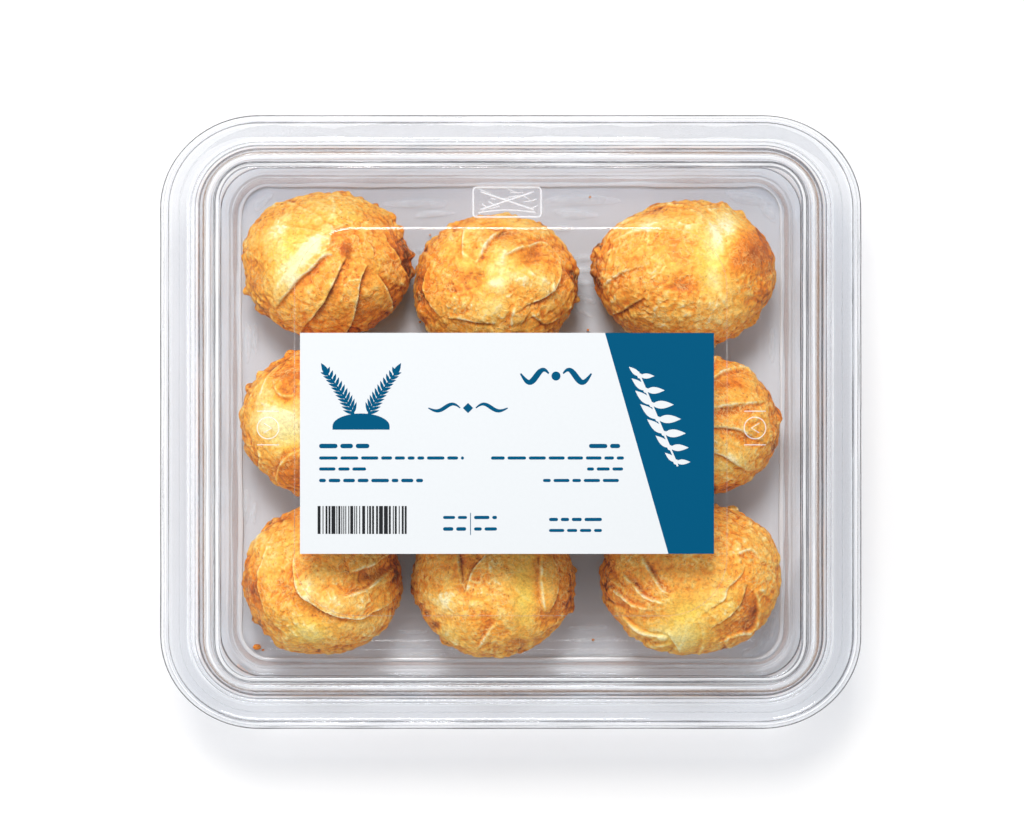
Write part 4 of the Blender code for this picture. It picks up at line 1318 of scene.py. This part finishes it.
# pale streaks on the floor: painted reflections
build_sheen(ridge_material("floor_painted_reflection", 0.14))

label_mat = paper_material("label_white", LABEL_WHITE, 0.42)
label_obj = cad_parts["label"]
label_obj.data.materials.clear()
label_obj.data.materials.append(label_mat)
build_print()

crust_mat = crust_material()
sphere = ball(7)
for bun, spec in BUNS.items():
    pos, colour, rough = crust(bun, spec, sphere)
    piece = mesh_from_arrays("crust_" + bun, pos, sphere[1], crust_mat)
    layer = piece.data.color_attributes.new("crust", "FLOAT_COLOR", "POINT")
    rgba = np.ones((len(pos), 4), dtype=np.float32)
    rgba[:, :3] = colour
    rgba[:, 3] = rough
    layer.data.foreach_set("color", rgba.ravel())
    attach(piece, "root")
    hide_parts(bun)
build_crumbs(crust_mat)

# ------------------------------------------------------------------ floor, light, camera
floor_mesh = bpy.data.meshes.new("floor")
floor_mesh.from_pydata([(-3, -3, 0), (3, -3, 0), (3, 3, 0), (-3, 3, 0)], [], [(0, 1, 2, 3)])
floor = bpy.data.objects.new("floor", floor_mesh)
scene.collection.objects.link(floor)
floor.location.z = -0.0002
fmat, fnt, fsh = new_material("floor_white")
fsh.inputs["Base Color"].default_value = (0.82, 0.82, 0.82, 1.0)
fsh.inputs["Roughness"].default_value = 0.8
fsh.inputs["Specular IOR Level"].default_value = 0.1
floor_mesh.materials.append(fmat)

world = bpy.data.worlds.new("studio")
scene.world = world
world.use_nodes = True
wn = world.node_tree
wn.nodes.clear()
wout = wn.nodes.new("ShaderNodeOutputWorld")
wbg = wn.nodes.new("ShaderNodeBackground")
wco = wn.nodes.new("ShaderNodeTexCoord")
wsep = wn.nodes.new("ShaderNodeSeparateXYZ")
wramp = wn.nodes.new("ShaderNodeValToRGB")
wn.links.new(wco.outputs["Generated"], wsep.inputs["Vector"])
wn.links.new(wsep.outputs["Z"], wramp.inputs["Fac"])
ramp_stops = [(0.0, 0.10), (0.10, 0.25), (0.28, 0.98), (0.80, 1.05), (0.93, 0.75), (0.975, 0.20), (1.0, 0.12)]
while len(wramp.color_ramp.elements) < len(ramp_stops):
    wramp.color_ramp.elements.new(0.5)
for element, (pos_at, level) in zip(wramp.color_ramp.elements, ramp_stops):
    element.position = pos_at
    element.color = (level, level, level * 1.01, 1)
wn.links.new(wramp.outputs["Color"], wbg.inputs["Color"])
wbg.inputs["Strength"].default_value = 0.79
wn.links.new(wbg.outputs["Background"], wout.inputs["Surface"])


def area(name, loc, aim, size, power):
    data = bpy.data.lights.new(name, "AREA")
    data.shape = "RECTANGLE"
    data.size, data.size_y = size
    data.energy = power
    obj = bpy.data.objects.new(name, data)
    scene.collection.objects.link(obj)
    obj.location = loc
    obj.rotation_euler = (Vector(aim) - Vector(loc)).to_track_quat("-Z", "Y").to_euler()
    return obj


area("key", (-0.10, 0.66, 1.20), (0, 0, 0.02), (0.42, 0.42), 14.0)
area("fill", (-0.9, -0.1, 0.8), (0, 0, 0.02), (0.6, 0.6), 2.4)

cam_data = bpy.data.cameras.new("camera")
cam = bpy.data.objects.new("camera", cam_data)
scene.collection.objects.link(cam)
scene.camera = cam
# 0.342 mm a pixel at the rim's height, from 0.9 m above it
DIST = 0.90
RIM_Z = 0.0345
f_px = DIST / 0.342e-3
cam_data.sensor_width = 36.0
cam_data.lens = f_px * 36.0 / 1024.0
cam_data.clip_start = 0.05
cam.location = (0.0, 0.0, RIM_Z + DIST)
cam.rotation_euler = (0.0, 0.0, 0.0)
cam_data.shift_x = (512.0 - 510.75) / 1024.0
cam_data.shift_y = (422.0 - 409.5) / 1024.0

scene.view_settings.view_transform = "Standard"
scene.view_settings.look = "None"
scene.view_settings.exposure = 0.0
scene.cycles.max_bounces = 10
scene.cycles.transparent_max_bounces = 24
scene.cycles.transmission_bounces = 10
scene.cycles.glossy_bounces = 4
scene.cycles.diffuse_bounces = 2
scene.cycles.light_sampling_threshold = 0.05
scene.cycles.caustics_reflective = False
scene.cycles.caustics_refractive = False
scene.cycles.use_denoising = True
